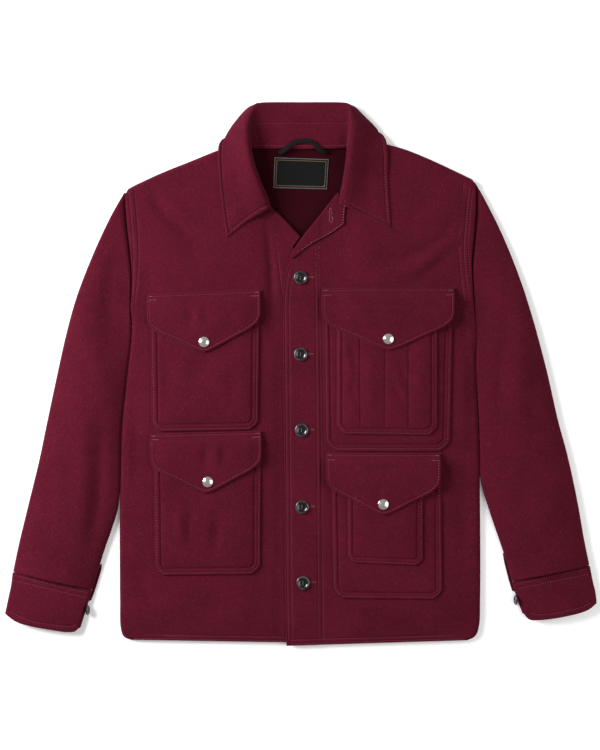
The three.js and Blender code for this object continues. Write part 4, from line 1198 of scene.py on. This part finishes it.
# Flaps: pointed flaps of doubled wool, sewn to the fronts along their tops by two rows and tacked at both
# corners with pale bars. One row of stitches follows the free edge, and a snap holds the point.
FLAP_THICKNESS = 4.0
FLAP_SWELL = 1.0
FLAP_REACH = [
    (0, 0.38), (0.004, 0.44), (0.02, 0.52), (0.08, 0.625), (0.27, 0.8), (0.43, 0.955), (0.5, 1),
    (0.57, 0.962), (0.73, 0.81), (0.92, 0.625), (0.98, 0.52), (0.996, 0.44), (1, 0.38),
]
FLAPS = {
    "flap_upper_left": {
        "side": "left", "top": [(-222.9, 114.6), (-58.3, 121.4)], "point": 87, "layer": 1, "area": 0.0111,
        "over": "pocket_upper_left",
        "creases": [
            {"run": [(-151, 100), (-148, 82), (-146, 66)], "height": 0.8, "width": 6},
            {"run": [(-163, 96), (-160, 78), (-158, 64)], "height": -0.8, "width": 6},
            {"run": [(-110, 96), (-98, 78), (-92, 66)], "height": -0.5, "width": 9},
        ],
    },
    "flap_lower_left": {
        "side": "left", "top": [(-219, -87.3), (-56.8, -83.2)], "point": 87.5, "layer": 1, "area": 0.011,
        "over": "pocket_lower_left",
        "creases": [
            {"run": [(-124, -98), (-123, -116), (-124, -132)], "height": 1.0, "width": 6},
            {"run": [(-138, -104), (-138, -124), (-139, -142)], "height": -1.1, "width": 6},
            {"run": [(-112, -102), (-110, -120), (-111, -134)], "height": -0.6, "width": 6},
        ],
    },
    "flap_upper_right": {
        "side": "right", "top": [(29.9, 123.6), (222.3, 124)], "point": 90.5, "layer": 2, "area": 0.0135,
        "over": "pencil_pocket_right",
        "creases": [
            {"run": [(72, 104), (92, 88), (112, 74)], "height": 0.8, "width": 12},
            {"run": [(150, 102), (176, 84), (196, 76)], "height": -0.6, "width": 12},
        ],
    },
    "flap_lower_right": {
        "side": "right", "top": [(36, -114.6), (202.3, -115.3)], "point": 89.5, "layer": 2, "area": 0.0115,
        "over": "small_pocket_right",
        "creases": [
            {"run": [(60, -134), (110, -138), (166, -134)], "height": -0.9, "width": 7},
            {"run": [(70, -152), (110, -158), (150, -154)], "height": 0.6, "width": 9},
        ],
    },
}
FLAP_CLIMB = (2.5, 16)
FLAP_TOP_ROWS = (3.6, 9.4)
TACK_DROPS = {"left": 8.8, "right": 10.6}
FLAP_EDGE_INSET = 3.6
FLAP_ROW_DEPTHS = (0.5, 0.9, 0.45)


def flap_lower_line(flap, dense=12):
    """The flap's free edge, from its upper left corner round its point to its upper right one."""
    (tl, tr) = np.array(flap["top"], float)
    shares = smooth_line(FLAP_REACH, dense)
    edge = tl + (tr - tl) * shares[:, :1]
    edge[:, 1] -= flap["point"] * shares[:, 1]
    return np.vstack([tl[None], edge, tr[None]])


def flap_height(name, spots, sewn=True):
    """The height of the middle of a flap's cloth over each spot."""
    flap = FLAPS[name]
    (tl, tr) = np.array(flap["top"], float)
    from_top = distance_to(np.array([tl, tr]), spots)[0]
    from_edge = distance_to(flap_lower_line(flap), spots)[0]
    climb = ease(from_top, *FLAP_CLIMB)
    front = front_height(flap["side"], spots, sewn=False)
    held = flap["layer"] * PATCH_STEP + 0.8
    if sewn:
        pocket = POCKETS[flap["over"]]
        inside = distance_to(pocket_outline(pocket), spots)[0]
        held = flap["layer"] * PATCH_STEP + 0.45 + 0.9 * ease(inside, 4, 24)
        held = held + (0.5 if flap["layer"] == 2 else 0)
    height = front + FRONT_FACE + SEAM + FLAP_THICKNESS / 2 + climb * held
    height = height + FLAP_SWELL * ease(np.minimum(from_edge, from_top), 4, 30)
    height = height + crease_heights(spots, flap["creases"]) * ease(np.minimum(from_edge, from_top), 5, 16)
    height = height + 0.35 * np.exp(-((from_edge - 2.0) / 1.3) ** 2) * climb
    if sewn:
        height = height + polyline_depths(spots, flap_rows(flap), FLAP_ROW_DEPTHS)
    return height


def flap_rows(flap):
    (tl, tr) = np.array(flap["top"], float)
    way = (tr - tl) / np.linalg.norm(tr - tl)
    rows = [np.array([tl + way * 2.5, tr - way * 2.5]) - [0, drop] for drop in FLAP_TOP_ROWS]
    edge = flap_lower_line(flap, 5)[1:-1]
    free = inset(edge, FLAP_EDGE_INSET)
    below = free[:, 1] < np.interp(free[:, 0], [tl[0], tr[0]], [tl[1], tr[1]]) - FLAP_TOP_ROWS[1]
    free = free[below]
    start_top = np.array([[tl[0] + FLAP_EDGE_INSET, tl[1] - FLAP_TOP_ROWS[1]]])
    finish_top = np.array([[tr[0] - FLAP_EDGE_INSET, tr[1] - FLAP_TOP_ROWS[1]]])
    return rows + [np.vstack([start_top, free, finish_top])]


for name, flap in FLAPS.items():
    (tl, tr) = np.array(flap["top"], float)
    width = np.linalg.norm(tr - tl)
    across = grid_steps(width, [(0, 16), (width - 16, width)], fine=0.9, coarse=3.2)
    shares = smooth_line(FLAP_REACH, 12)
    order = np.argsort(shares[:, 0], kind="stable")
    reach = np.interp(across, shares[order, 0], shares[order, 1])
    drop = flap["point"] * reach
    lead = [0, 0.12, 0.4, 0.9, 1.6, 2.4, 3.2, 4.2, 5.2, 6.2, 7.2, 8.0, 8.8, 9.6, 10.6, 12, 14]
    tail = [8.6, 7.4, 6.4, 5.6, 4.8, 4.0, 3.2, 2.4, 1.6, 0.9, 0.4, 0.12, 0.0]
    middle_steps = np.linspace(0, 1, 18)[1:-1]
    down = np.array([lead + list(14 + (d - 22.6) * middle_steps) + [d - t for t in tail] for d in drop]).T
    line = tl + (tr - tl) * across[:, None]
    flat = np.repeat(line[None], len(down), axis=0)
    flat[..., 1] -= down
    rim = np.vstack([flap_lower_line(flap), tl[None]])
    gap = distance_to(rim, flat)[0]
    middle = np.dstack([flat, flap_height(name, flat)])
    smooth = np.dstack([flat, flap_height(name, flat, sewn=False)])
    piece = cloth(name + "_cloth", middle, lip(gap, FLAP_THICKNESS), facing=smooth)
    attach(piece, "root")
    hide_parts(name)
    flap["point"] * MM
    flap["over"] + "_patch"
    surface = lambda spots, name=name: flap_height(name, spots) + FLAP_THICKNESS / 2
    rows = [laid_path(row, surface) for row in flap_rows(flap)]
    sew(name + "_stitches", [rows[0], rows[2]])
    # The second row's thread is darkened as painted shade.
    sew(name + "_second_row", [rows[1]], material=SHADED_THREAD)
    bars = []
    bar_drop = TACK_DROPS[flap["side"]]
    for corner, inward in ((tl, 1), (tr, -1)):
        slope = (tr[1] - tl[1]) / (tr[0] - tl[0])
        for drop_at, start, finish in ((FLAP_TOP_ROWS[0], 1.5, 9.0), (bar_drop, 2.4, 14.0)):
            ends = [corner + [inward * run, inward * run * slope - drop_at] for run in (start, finish)]
            bars.append(laid_path(np.array(ends), surface))
    sew(name + "_corner_tacks", bars, pitch=1.9, thick=0.75, material=TACK_THREAD)


# Snaps: a polished domed cap at the point of each flap, pressed through the cloth.
SNAP_RADIUS = 7.6
SNAPS = {
    "snap_upper_left": {"at": (-140.2, 45.5), "flap": "flap_upper_left"},
    "snap_lower_left": {"at": (-134.8, -156.6), "flap": "flap_lower_left"},
    "snap_upper_right": {"at": (126.1, 49.9), "flap": "flap_upper_right"},
    "snap_lower_right": {"at": (118.8, -188.9), "flap": "flap_lower_right"},
}
SNAP_PROFILE = [
    (0, 0), (0.93, 0), (1.0, 0.35), (1.0, 0.9), (0.95, 1.35), (0.86, 1.5), (0.8, 1.42), (0.74, 1.55),
    (0.62, 2.1), (0.45, 2.5), (0.25, 2.72), (0, 2.8),
]


def polished_metal():
    """Nickel-plated brass: bright, with fine scratches that only roughen it a little."""
    finish = Finish("polished_nickel")
    place = finish.node("ShaderNodeTexCoord", {}, {}, "Object")
    worn = noise(finish, place, 500.0, 3.0, 0.6)
    tone = blend_colours(finish, worn, (0.60, 0.58, 0.49, 1), (0.78, 0.76, 0.66, 1))
    finish.set(Base_Color=tone, Metallic=0.84, Roughness=ramp(finish, worn, 0.3, 0.7, 0.08, 0.18))
    return finish.material


def turned(name, profile, steps, material):
    """A profile spun round an upright axis in edit mode, welded and with its faces turned outwards."""
    mesh = bpy.data.meshes.new(name)
    points = [(r * MM, 0, z * MM) for r, z in profile]
    mesh.from_pydata(points, [(k, k + 1) for k in range(len(points) - 1)], [])
    piece = bpy.data.objects.new(name, mesh)
    scene.collection.objects.link(piece)
    bpy.ops.object.select_all(action="DESELECT")
    piece.select_set(True)
    bpy.context.view_layer.objects.active = piece
    bpy.ops.object.mode_set(mode="EDIT")
    bpy.ops.mesh.select_all(action="SELECT")
    bpy.ops.mesh.spin(steps=steps, angle=2 * math.pi, center=(0, 0, 0), axis=(0, 0, 1), use_auto_merge=True)
    bpy.ops.mesh.select_all(action="SELECT")
    bpy.ops.mesh.remove_doubles(threshold=0.00001)
    bpy.ops.mesh.normals_make_consistent(inside=False)
    bpy.ops.object.mode_set(mode="OBJECT")
    piece.select_set(False)
    mesh.shade_smooth()
    mesh.materials.append(material)
    return piece


def put_down(piece, place, tilt=None):
    """Turns a piece and moves it to its place in millimetres, in its mesh; the object stays at the origin."""
    rotation = tilt if tilt is not None else np.eye(3)
    coordinates = np.empty(len(piece.data.vertices) * 3)
    piece.data.vertices.foreach_get("co", coordinates)
    moved = coordinates.reshape(-1, 3) @ rotation.T + np.array(place) * MM
    piece.data.vertices.foreach_set("co", moved.ravel())
    piece.data.update()


NICKEL = polished_metal()
for name, snap in SNAPS.items():
    cap = turned(name + "_cap", [(r * SNAP_RADIUS, z) for r, z in SNAP_PROFILE], 40, NICKEL)
    seat = float(flap_height(snap["flap"], np.array([snap["at"]]))[0]) + FLAP_THICKNESS / 2
    put_down(cap, (*snap["at"], seat))
    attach(cap, "root")
    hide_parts(name)


# Buttons: five turned horn buttons down the front and one at each cuff, with a raised rim, a dished middle
# and four holes, sewn on through them. Each front one is closed through its buttonhole.
BUTTON_RADIUS = 9.8
CUFF_BUTTON_RADIUS = 7.6
BUTTON_PROFILE = [
    (0, 0.5), (0.55, 0.3), (0.8, 0.5), (0.94, 0.95), (1.0, 1.5), (0.995, 2.1), (0.96, 2.65), (0.9, 3.0),
    (0.82, 3.15), (0.745, 3.1), (0.69, 2.85), (0.64, 2.4), (0.56, 2.0), (0.42, 1.75), (0.2, 1.62), (0, 1.6),
]
HOLE_RADIUS = 1.05
HOLE_REACH = 2.1
DRILL_LENGTH = 8
ROUND_STEPS = 40
WRIST_RIM_PAINTED_SHADE = 0.74


def dark_horn():
    """Polished dark horn: nearly black in the dish and cloudy charcoal on the rim, under a clear gloss.

    The rim attribute is 0 in the dish and rises to the button's edge: 1 on the front buttons, less on the wrist
    ones, whose rims carry painted shade.
    """
    finish = Finish("dark_horn")
    place = finish.node("ShaderNodeTexCoord", {}, {}, "Object")
    cloud = noise(finish, place, 130.0, 3.0, 0.55, (1.0, 2.6, 1.0))
    rim = finish.node("ShaderNodeAttribute", {"attribute_name": "rim"}, {}, "Fac")
    streaks = blend_colours(finish, ramp(finish, cloud, 0.35, 0.7),
                            (0.018, 0.018, 0.019, 1), (0.058, 0.057, 0.057, 1))
    tone = blend_colours(finish, ramp(finish, rim, 0.66, 0.9), (0.0035, 0.0035, 0.004, 1), streaks)
    scuffs = noise(finish, place, 900.0, 2.0)
    finish.set(Base_Color=tone, Roughness=ramp(finish, scuffs, 0.3, 0.7, 0.16, 0.3))
    finish.set(Normal=bump(finish, cloud, 0.1, 0.0004))
    finish.set(Coat_Weight=0.4, Coat_Roughness=0.1, Specular_IOR_Level=0.5)
    return finish.material


HORN = dark_horn()


def horn_button(name, radius):
    """A button with four holes bored through it, at the origin."""
    button = turned(name, [(r * radius, z) for r, z in BUTTON_PROFILE], ROUND_STEPS, HORN)
    for turn in (45, 135, 225, 315):
        x, y = HOLE_REACH * math.cos(math.radians(turn)), HOLE_REACH * math.sin(math.radians(turn))
        bpy.ops.object.select_all(action="DESELECT")
        bpy.ops.mesh.primitive_cylinder_add(vertices=14, radius=HOLE_RADIUS * MM, depth=DRILL_LENGTH * MM,
                                            location=(x * MM, y * MM, 1 * MM))
        drill = bpy.context.object
        bore = button.modifiers.new("bore", "BOOLEAN")
        bore.operation = "DIFFERENCE"
        bore.object = drill
        drill.select_set(False)
        bpy.context.view_layer.objects.active = button
        bpy.ops.object.modifier_apply(modifier="bore")
        bpy.data.objects.remove(drill)
    button.data.shade_smooth()
    bpy.context.view_layer.objects.active = button
    button.select_set(True)
    bpy.ops.object.shade_smooth_by_angle(angle=math.radians(40))
    button.select_set(False)
    # Painted shade: the wrist buttons stand on edge beside the cuff, so their rims are made darker.
    shade = 1.0 if radius == BUTTON_RADIUS else WRIST_RIM_PAINTED_SHADE
    rim = [shade * math.hypot(vertex.co.x, vertex.co.y) / (radius * MM) for vertex in button.data.vertices]
    button.data.attributes.new("rim", "FLOAT", "POINT").data.foreach_set("value", rim)
    return button


def button_thread(name, place, rotation):
    """Two pairs of pale strands from hole to hole over the button's dish, turned and moved with the button."""
    seams = []
    reach = HOLE_REACH * 0.7071 + 0.2
    for y in (-HOLE_REACH * 0.7071, HOLE_REACH * 0.7071):
        for shift in (-0.35, 0.35):
            share = np.linspace(-1, 1, 9)
            path = np.column_stack([share * reach, np.full(9, y + shift), 1.75 + 0.5 * (1 - share**2)])
            path = path @ rotation.T + place
            seams.append((path, np.tile(rotation @ [0, 0, 1.0], (9, 1))))
    return sew(name, seams, pitch=3.0, thick=0.42, material=TACK_THREAD)


BUTTON_PLACES = [(-0.7, 138.9), (-0.6, 27.8), (0.7, -82.2), (1.6, -193.6), (2.9, -303.5)]
for number, (x, y) in enumerate(BUTTON_PLACES, 1):
    button = horn_button(f"front_button_{number}", BUTTON_RADIUS)
    seat = float(front_height("right", np.array([[x, y]]))[0]) + FRONT_FACE + SEAM
    put_down(button, (x, y, seat))
    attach(button, "root")
    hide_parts(f"button_{number}")
    button_thread(f"button_thread_{number}", np.array([x, y, seat]), np.eye(3))
    buttonhole(f"front_buttonhole_{number}", (x + 6.2, y + 0.4), 25, 2.0, math.radians(2), front_top("right"))

CUFF_BUTTONS = {"left": (-311.2, -343.2), "right": (313.2, -328.6)}
CUFF_BUTTON_TILT = math.radians(79)
for side, (x, y) in CUFF_BUTTONS.items():
    turn = CUFF_BUTTON_TILT if side == "left" else -CUFF_BUTTON_TILT
    tilt = np.array([[math.cos(turn), 0, math.sin(turn)], [0, 1, 0], [-math.sin(turn), 0, math.cos(turn)]])
    place = np.array([x, y, SEAM + CUFF_BUTTON_RADIUS * math.sin(CUFF_BUTTON_TILT)])
    button = horn_button(f"wrist_button_{side}", CUFF_BUTTON_RADIUS)
    put_down(button, place, tilt)
    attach(button, "root")
    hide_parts(f"cuff_button_{side}")
    button_thread(f"wrist_button_thread_{side}", place, tilt)


# Label: a black satin label inside the back neck, woven with a plain pale edge and left bare. It is sewn
# down all round with fine black stitches.
LABEL_BOTTOM = [(-40.2, 269.6), (37.6, 267.7)]
LABEL_TOP = [(-38.3, 313.9), (40.3, 311.2)]
LABEL_THICKNESS = 0.8
LABEL_LIFT = 0.15
LABEL_RIPPLE = 0.22


def woven_label():
    """Fine black satin weave in close rows; a pale grey edge and a thin tan line inside it are woven in."""
    finish = Finish("woven_label")
    place = finish.node("ShaderNodeTexCoord", {}, {}, "Object")
    weave = finish.node("ShaderNodeTexWave", {"wave_type": "BANDS", "bands_direction": "Y"}, {
        "Vector": place, "Scale": 620.0, "Distortion": 1.2, "Detail": 1.0})
    rows = finish.node("ShaderNodeTexWave", {"wave_type": "BANDS", "bands_direction": "X"}, {
        "Vector": place, "Scale": 900.0, "Distortion": 0.8, "Detail": 1.0})
    rim = Value(finish, finish.tree.nodes.new("ShaderNodeAttribute").outputs["Fac"])
    rim.socket.node.attribute_name = "from_rim"
    edge = 1 - ramp(finish, rim, 0.9, 1.3)
    line = ramp(finish, rim, 3.0, 3.25) - ramp(finish, rim, 3.8, 4.05)
    black = blend_colours(finish, weave * rows, (0.003, 0.0032, 0.0030, 1), (0.008, 0.0086, 0.0078, 1))
    bordered = blend_colours(finish, line * 0.8, black, (0.16, 0.105, 0.055, 1))
    tone = blend_colours(finish, edge * 0.9, bordered, (0.12, 0.125, 0.115, 1))
    finish.set(Base_Color=tone, Roughness=ramp(finish, weave, 0.2, 0.8, 0.6, 0.8), Specular_IOR_Level=0.08)
    finish.set(Normal=bump(finish, weave * 0.6 + rows * 0.4 + line, 0.5, 0.0002))
    return finish.material


label_across = grid_steps(78, coarse=2.6)
label_up = grid_steps(44, coarse=2.4)
flat = net(line_of(LABEL_BOTTOM), line_of(LABEL_TOP), line_of([LABEL_BOTTOM[0], LABEL_TOP[0]]),
           line_of([LABEL_BOTTOM[1], LABEL_TOP[1]]), label_across, label_up)
label_rim = np.array([LABEL_BOTTOM[0], LABEL_BOTTOM[1], LABEL_TOP[1], LABEL_TOP[0], LABEL_BOTTOM[0]], float)
from_rim = distance_to(label_rim, flat)[0]
ripple = LABEL_RIPPLE * np.sin(flat[..., 0] / 9.0 + 0.6) * np.cos(flat[..., 1] / 13.0) * ease(from_rim, 0, 8)
label_middle = np.dstack([flat, WOOL_THICKNESS + SEAM + LABEL_THICKNESS / 2 + LABEL_LIFT + ripple])
label = cloth("neck_label", label_middle, lip(from_rim, LABEL_THICKNESS), material=woven_label())
reading = label.data.attributes.new("from_rim", "FLOAT", "POINT")
reading.data.foreach_set("value", np.tile(from_rim.ravel(), 2).astype(np.float32))
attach(label, "root")
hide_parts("label")
label_thread = tack_thread("label_thread", (0.012, 0.012, 0.013, 1), (0.03, 0.03, 0.03, 1))
around = inset(label_rim[:-1], 0.9)
around = np.vstack([around, around[:1]])
label_top = WOOL_THICKNESS + SEAM + LABEL_THICKNESS + 0.1
label_stitches = sew("label_stitches", [laid_path(around, lambda spots: np.full(len(spots), label_top))],
                     pitch=2.0, thick=0.22, material=label_thread)


# Hang loop: a strip of black twill tape caught in the neck seam at both ends, arched up over the neck.
LOOP_WIDTH = 6.4
LOOP_THICKNESS = 1.2
LOOP_PATH = [
    (-33, 321.2, 3.6), (-27.5, 321.8, 8.4), (-18.5, 328.4, 11.2), (-10, 334.6, 11.6), (0, 337.4, 12),
    (11.6, 336.9, 12), (19.5, 332.6, 11.6), (26, 325.6, 10.8), (33.4, 321.6, 8.4), (40.4, 320.8, 3.6),
]


def twill_tape():
    """Black cotton twill: fine slanting ribs across the tape."""
    finish = Finish("black_twill")
    place = finish.node("ShaderNodeTexCoord", {}, {}, "Object")
    slant = (0, 0, math.radians(38))
    turned_place = finish.node("ShaderNodeMapping", {}, {"Vector": place, "Rotation": slant})
    ribs = finish.node("ShaderNodeTexWave", {"wave_type": "BANDS", "bands_direction": "X"}, {
        "Vector": turned_place, "Scale": 330.0, "Distortion": 0.6, "Detail": 1.0})
    lint = noise(finish, place, 700.0, 3.0, 0.7)
    tone = blend_colours(finish, ribs * 0.7 + lint * 0.3,
                         (0.003, 0.003, 0.003, 1), (0.009, 0.0088, 0.0086, 1))
    finish.set(Base_Color=tone, Roughness=ramp(finish, lint, 0.3, 0.7, 0.75, 0.95), Specular_IOR_Level=0.1)
    finish.set(Normal=bump(finish, ribs + lint * 0.4, 0.6, 0.0003))
    return finish.material


LOOP_ROWS = 90
loop_line = places_on(smooth_line(LOOP_PATH, 16), np.linspace(0, 1, LOOP_ROWS))
way = np.gradient(loop_line, axis=0)
across_tape = np.cross(way, [0, 0, 1.0])
across_tape /= np.linalg.norm(across_tape, axis=1, keepdims=True)
tape_steps = LOOP_WIDTH * (grid_steps(LOOP_WIDTH, [(0, LOOP_WIDTH)], fine=0.6) - 0.5)
tape_middle = loop_line[:, None] + across_tape[:, None] * tape_steps[None, :, None]
crown = 0.3 * (1 - (2 * tape_steps / LOOP_WIDTH) ** 2)
tape_middle[..., 2] += crown
tape_edge = LOOP_WIDTH / 2 - np.abs(tape_steps)
tape_half = np.repeat(lip(tape_edge, LOOP_THICKNESS)[None], LOOP_ROWS, axis=0)
loop = cloth("neck_hang_loop", tape_middle, tape_half, material=twill_tape())
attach(loop, "root")
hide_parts("hang_loop")

bpy.ops.object.select_all(action="DESELECT")
